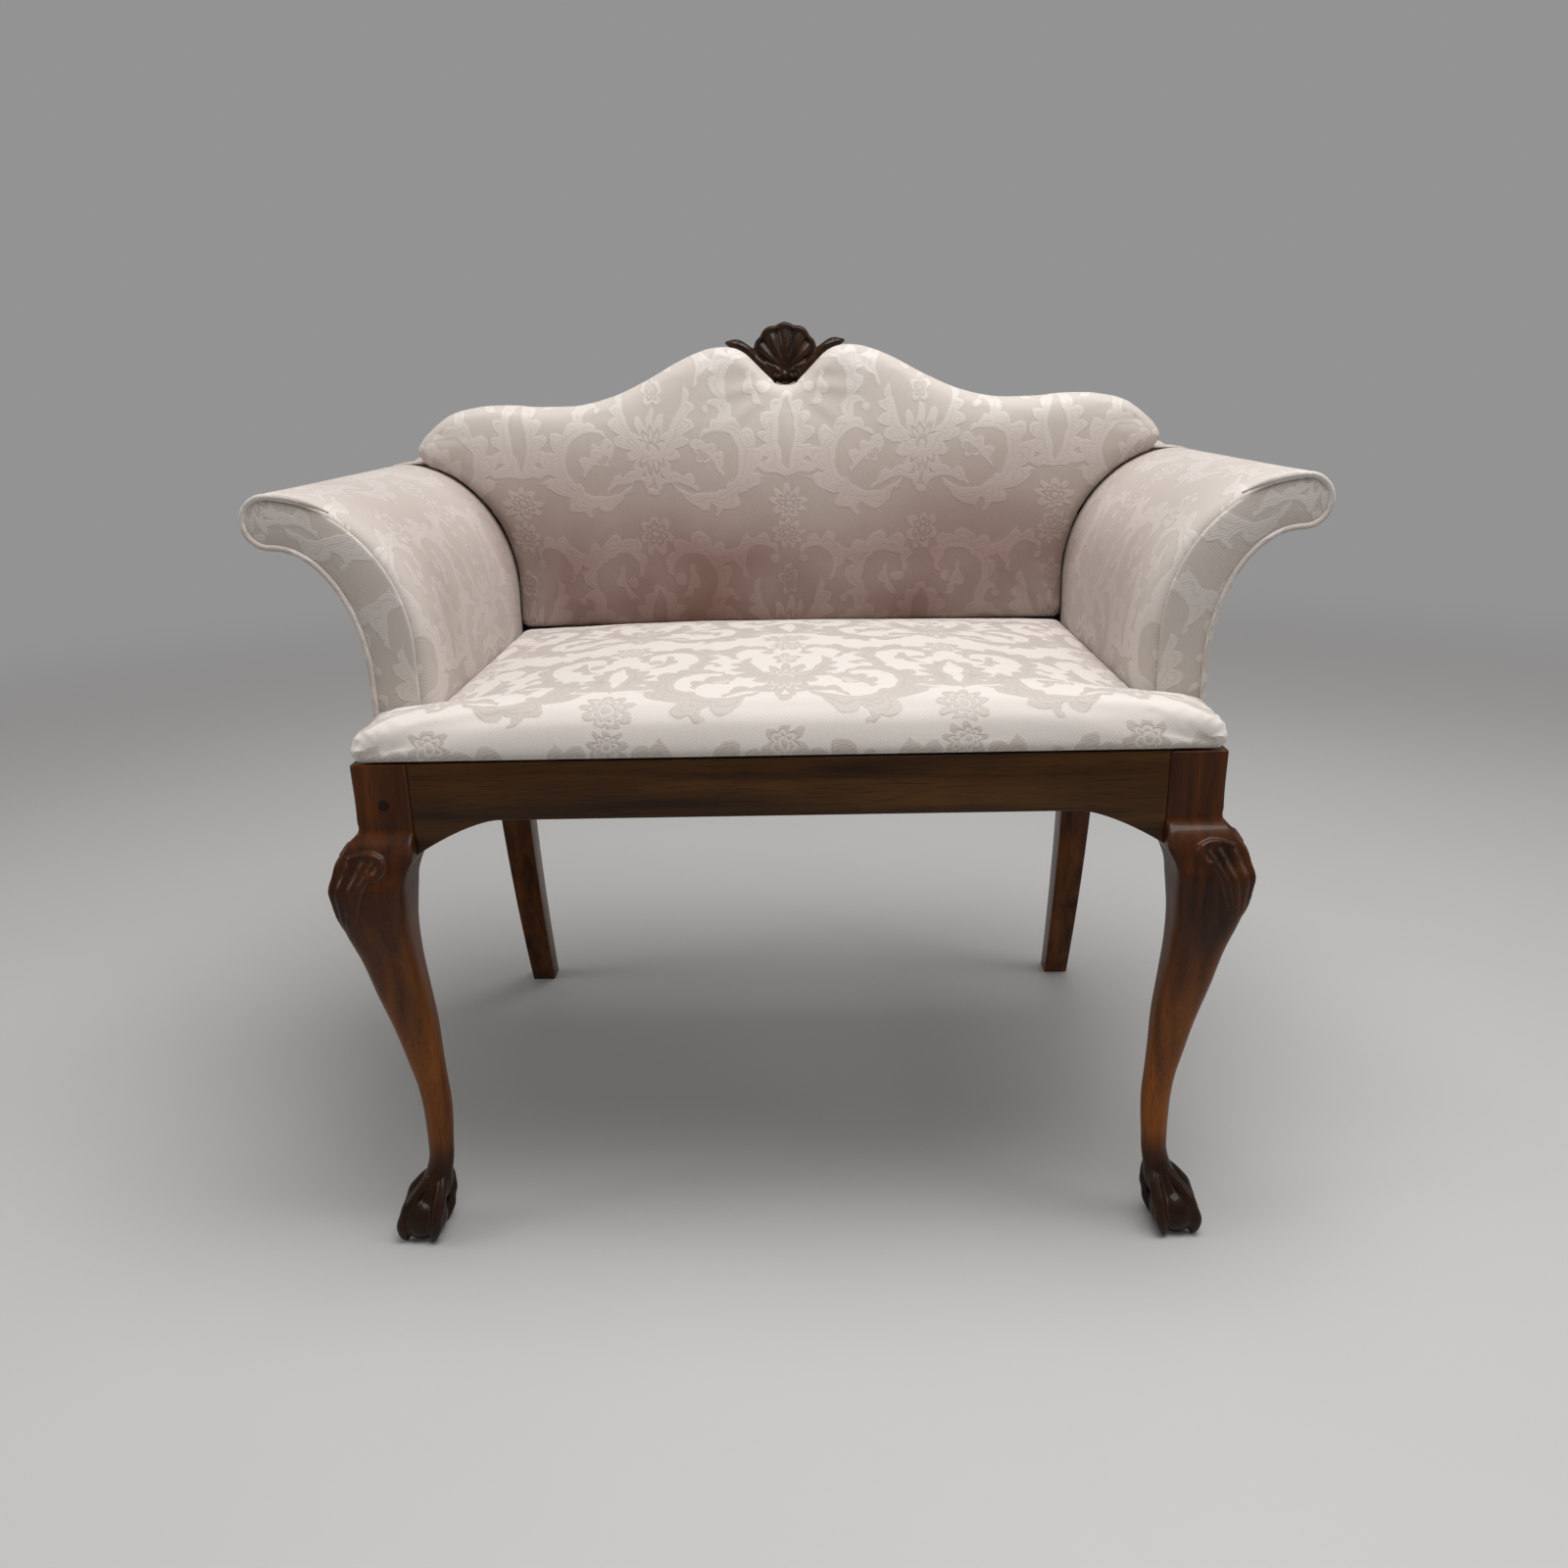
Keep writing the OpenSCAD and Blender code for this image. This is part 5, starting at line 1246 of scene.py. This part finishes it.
class SETTEE_OT_seat_frame(Operator):
    """Makes the show-wood rails and the raked rear posts"""
    bl_idname = "settee.seat_frame"
    bl_label = "Rails and rear posts"

    def execute(self, context):
        s = plan()
        c = context.scene.settee_colours
        level, deep, post = (
            french_polished_mahogany("french_polished_mahogany_" + name, dark[:], light[:], along)
            for name, dark, light, along in (("level", c.rail_dark, c.rail_light, "x"),
                                             ("deep", c.rail_dark, c.rail_light, "y"),
                                             ("post", c.wood_dark, c.post_light, "z")))
        rail = build("shaped_front_rail", front_rail_shape(s))
        finish_piece(rail, level, "polished_mahogany", "front_rail")
        for obj, side in both("shaped_side_rail", side_rail_shape(s)):
            finish_piece(obj, deep, "polished_mahogany", side + "_side_rail")
        for obj, side in both("raked_post", rear_post_shape(s)):
            finish_piece(obj, post, "rear_post_mahogany", side + "_rear_post")
        repaint("rear_rail", level)
        return {"FINISHED"}


class SETTEE_OT_hidden_frame(Operator):
    """Finishes the beech frame, the webbing, the hessian and the screws that the covers hide"""
    bl_idname = "settee.hidden_frame"
    bl_label = "Hidden frame"

    def execute(self, context):
        c = context.scene.settee_colours
        wood = planed_beech("planed_beech", c.beech)
        strips = woven_jute("woven_jute_webbing", c.jute, pitch=0.003)
        cloth = woven_jute("woven_jute_hessian", c.jute, pitch=0.0018)
        sides = [side + piece for side in ("right_", "left_")
                 for piece in ("back_wing", "arm_post", "arm_top_rail", "arm_tack_rail")]
        for node in ("corner_blocks", "back_top_rail", "back_stay_rail", "back_muntin", *sides):
            repaint(node, wood)
        for node in ("seat_webbing_lengthwise", "seat_webbing_crosswise", "back_webbing_level",
                     "back_webbing_upright"):
            repaint(node, strips)
        repaint("seat_hessian", cloth)
        repaint("corner_block_screws", turned_steel("turned_steel"))
        return {"FINISHED"}


class SETTEE_OT_seat(Operator):
    """Stuffs and covers the seat"""
    bl_idname = "settee.seat"
    bl_label = "Seat"

    def execute(self, context):
        s = plan()
        obj = build("tight_seat", seat_shape(s))
        points = melted(obj)
        uv, held = seat_cloth(s, points)
        lay_cloth(obj, uv)
        # The stuffing's swells, and the gathers that fan out at each front corner
        swell_h, gather_h, gathers = 0.0011, 0.0009, 11
        on_top = ease(s.rail_top + 0.010, s.rail_top + 0.025, points[:, 2])
        points[:, 2] += swell_h * lumps(points[:, 0], points[:, 1]) * (1 - held) * on_top
        x, y, z = points.T
        off = np.stack([np.abs(x) - s.half_w + 0.012, y - 0.012, z - s.rail_top - 0.008], -1)
        reach = np.linalg.norm(off, axis=1)
        near = np.exp(-(reach / 0.03) ** 2) * ease(0.006, 0.018, reach)
        fold = gather_h * near * np.sin(gathers * np.arctan2(off[:, 2], off[:, 1] - off[:, 0]))
        outwards = np.stack([np.sign(x), -np.ones(len(x)), np.ones(len(x))], -1)
        points = points + (fold * (1 - held))[:, None] * outwards
        move_points(obj, points)
        stuffed(obj, held, cap=0.004)
        finish_piece(obj, cover(context, flat=True), "damask_cover", "seat_cushion")
        return {"FINISHED"}


class SETTEE_OT_back(Operator):
    """Stuffs and covers the inside back, and closes the outside back"""
    bl_idname = "settee.back"
    bl_label = "Back"

    def execute(self, context):
        s = plan()
        obj = build("tight_inside_back", back_shape(s))
        points = melted(obj)
        uv, held = back_cloth(s, points)
        lay_cloth(obj, uv)
        # The stuffing's swells, and the pulls that fan out from the shell
        swell_h, pull_h, pulls = 0.0012, 0.0006, 13
        x, z = points[:, 0], points[:, 2]
        near = np.exp(-((np.hypot(x, z - s.dip_z) - 0.045) / 0.022) ** 2)
        pull = np.cos(pulls * np.arctan2(x, s.dip_z - z)) * near
        points[:, 1] -= (swell_h * lumps(x, z) + pull_h * pull) * (1 - held)
        move_points(obj, points)
        stuffed(obj, held, cap=0.004)
        finish_piece(obj, cover(context), "damask_cover", "back_cushion")
        shape, uv = outside_back_shape(s)
        obj = build("tight_outside_back", shape, uv)
        finish_piece(obj, cover(context), "damask_cover", "outside_back")
        return {"FINISHED"}


class SETTEE_OT_arms(Operator):
    """Stuffs and covers both arms, and sews their facings and welts"""
    bl_idname = "settee.arms"
    bl_label = "Arms"

    def execute(self, context):
        s = plan()
        shape, uv, held = arm_pad_shape(s)
        right = build("right_rolled_arm", shape, uv)
        stuffed(right, held, cap=0.003)
        left = right.copy()
        left.name, left.data = "left_rolled_arm", right.data.copy()
        context.scene.collection.objects.link(left)
        left.data.transform(Matrix.Diagonal((-1, 1, 1, 1)))
        left.data.flip_normals()
        for obj, side in ((right, "right"), (left, "left")):
            finish_piece(obj, cover(context), "damask_cover", side + "_arm_pad")
        # The wing covers stand for no node: the CAD's wings stay, and the covers lie over their edges
        for name, made, node, slot in (
                ("arm_front", facing_shape(s), "_arm_facing", "damask_cover"),
                ("outer_arm", outside_arm_shape(s), "_outside_arm", "damask_cover"),
                ("wing_cover", wing_cover_shape(s), "", "damask_cover"),
                ("sewn_welt", welt_shape(s), "_arm_welt", "welt_cord")):
            for obj, side in both(name, *made):
                finish_piece(obj, cover(context), slot, *([side + node] if node else []))
        return {"FINISHED"}


class SETTEE_OT_crest(Operator):
    """Carves the shell that stands in the dip of the crest"""
    bl_idname = "settee.crest"
    bl_label = "Crest"

    def execute(self, context):
        c = context.scene.settee_colours
        wood = french_polished_mahogany("carved_mahogany", c.crest_dark[:], c.crest_light[:], "z", c.wax[:])
        obj = build("carved_shell", crest_shape(plan()))
        carved(obj, voxel=0.0007, passes=2)
        finish_piece(obj, wood, "carved_mahogany", "crest_carving")
        return {"FINISHED"}


# The backdrop, which the far floor fades into
BACKDROP = "#949393"


def seen_plainly(t):
    """1 where the camera, a gloss or a glass looks, and 0 where a surface gathers its light."""
    path = add(t, "LightPath").node
    seen = add(t, "Math", path.outputs["Is Camera Ray"], path.outputs["Is Glossy Ray"], operation="MAXIMUM")
    return add(t, "Math", seen, path.outputs["Is Transmission Ray"], operation="MAXIMUM")


class SETTEE_OT_stage(Operator):
    """Sets the pale floor, the soft lamps and the camera at the photograph's angle"""
    bl_idname = "settee.stage"
    bl_label = "Stage"

    def execute(self, context):
        scene = context.scene
        scene.view_settings.view_transform = "Standard"
        pale = scene.settee_colours.floor[:]
        half, under = 12, 0.0002
        x, y = np.meshgrid([-half, 0, half], [-half, 0, half], indexing="ij")
        mesh = bpy.data.meshes.new("pale_floor")
        mesh.from_pydata(np.stack([x, y, 0 * x - under], -1).reshape(-1, 3).tolist(), [],
                         [[k + i, k + i + 3, k + i + 4, k + i + 1] for k in (0, 3) for i in (0, 1)])
        floor = bpy.data.objects.new("pale_floor", mesh)
        scene.collection.objects.link(floor)
        material, t = new_material("painted_studio_floor")
        place = add(t, "TexCoord", out=3)
        far = add(t, "VectorMath", place, operation="LENGTH", out=1)
        far = add(t, "MapRange", far, 1.3, 3.6, 0, 1, interpolation_type="SMOOTHSTEP")
        far = add(t, "Math", far, seen_plainly(t), operation="MULTIPLY")
        mottle = add(t, "TexNoise", place, sockets={"Scale": 3, "Detail": 4})
        patch = add(t, "MapRange", mottle, 0.3, 0.7, 0, 0.15)
        tint = add(t, "Mix", patch, data_type="RGBA", out=2, sockets={6: pale, 7: from_hex("#b8b6b3")})
        matt = add(t, "BsdfPrincipled", sockets={"Base Color": tint, "Roughness": 0.55})
        glow = add(t, "Emission", from_hex(BACKDROP), 1.0)
        close(t, add(t, "MixShader", far, matt, glow))
        mesh.materials.append(material)

        world = bpy.data.worlds.new("studio")
        scene.world = world
        world.use_nodes = True
        t = world.node_tree
        t.nodes.clear()
        soft = add(t, "Background", from_hex("#ffffff"), 0.2)
        behind = add(t, "Background", from_hex(BACKDROP), 1.0)
        add(t, "OutputWorld", add(t, "MixShader", seen_plainly(t), soft, behind))

        for name, spot, aim, size_m, power in (
                ("overhead_softbox", (0.3, -0.35, 2.4), (0, 0, 0.4), 1.5, 50),
                ("right_softbox", (2.2, -0.7, 1.6), (0, 0, 0.5), 1.2, 9),
                ("left_softbox", (-2.2, -0.4, 1.5), (0, 0, 0.5), 1.0, 10)):
            lamp = bpy.data.lights.new(name, "AREA")
            lamp.shape, lamp.size, lamp.energy = "SQUARE", size_m, power
            obj = bpy.data.objects.new(name, lamp)
            scene.collection.objects.link(obj)
            obj.matrix_world = looking(np.array(spot), np.array(aim, float) - spot)

        eye = np.array([0.017813, -0.910137 + FACE_Y, 0.703563])
        tilt, side, roll_by = (math.radians(a) for a in (17.904, -1.245, -1.36))
        level = math.cos(tilt)
        ahead = np.array([math.sin(side) * level, math.cos(side) * level, -math.sin(tilt)])
        camera = bpy.data.cameras.new("view")
        camera.sensor_fit, camera.sensor_width, camera.lens = "HORIZONTAL", 36, 28.742
        camera.clip_start = 0.02
        obj = bpy.data.objects.new("view", camera)
        scene.collection.objects.link(obj)
        obj.matrix_world = looking(eye, ahead, roll_by)
        scene.camera = obj
        return {"FINISHED"}


def looking(eye, ahead, roll_by=0.0):
    """A pose at eye that looks along ahead with its top upwards, turned about its line of sight."""
    ahead = ahead / np.linalg.norm(ahead)
    right = np.cross(ahead, [0, 0, 1])
    right /= np.linalg.norm(right)
    up = np.cross(right, ahead)
    c, k = math.cos(roll_by), math.sin(roll_by)
    right, up = c * right + k * up, c * up - k * right
    pose = np.eye(4)
    pose[:3, 0], pose[:3, 1], pose[:3, 2], pose[:3, 3] = right, up, -ahead, eye
    return Matrix(pose.tolist())


def cover(context, flat=False):
    """The damask that all the covers share, with the satin's sheen painted into its two tones. On the level
    seat the light falls the other way across the threads, so there the figure is painted darker than the
    ground, and not lighter."""
    name = "ivory_damask_level" if flat else "ivory_damask_upright"
    c = context.scene.settee_colours
    tints = (c.figure, c.ground, 0.9, 0.2) if flat else (c.ground, c.figure, 0.6, 1.0)
    return bpy.data.materials.get(name) or damask(name, c, plan(), *tints)


class SETTEE_PT_sidebar(Panel):
    """Lists the settee's pieces, sizes and colours"""
    bl_label = "Settee"
    bl_idname = "SETTEE_PT_sidebar"
    bl_space_type = "VIEW_3D"
    bl_region_type = "UI"
    bl_category = "Settee"

    def draw(self, context):
        for piece in PIECES:
            self.layout.operator(piece.bl_idname)
        for group in (context.scene.settee_sizes, context.scene.settee_colours):
            box = self.layout.box()
            for key in type(group).__annotations__:
                box.prop(group, key)


PIECES = (SETTEE_OT_stage, SETTEE_OT_front_legs, SETTEE_OT_seat_frame, SETTEE_OT_hidden_frame,
          SETTEE_OT_seat, SETTEE_OT_back, SETTEE_OT_arms, SETTEE_OT_crest)
CLASSES = (SetteeSizes, SetteeColours, *PIECES, SETTEE_PT_sidebar)


def register():
    """Adds the settee's sizes, colours, operators and panel."""
    for c in CLASSES:
        bpy.utils.register_class(c)
    bpy.types.Scene.settee_sizes = PointerProperty(type=SetteeSizes)
    bpy.types.Scene.settee_colours = PointerProperty(type=SetteeColours)


def unregister():
    """Takes away what register adds."""
    del bpy.types.Scene.settee_sizes
    del bpy.types.Scene.settee_colours
    for c in reversed(CLASSES):
        bpy.utils.unregister_class(c)


def main():
    """Makes every piece in order."""
    register()
    for piece in PIECES:
        getattr(bpy.ops.settee, piece.bl_idname.split(".")[1])()


if __name__ == "__main__":
    main()
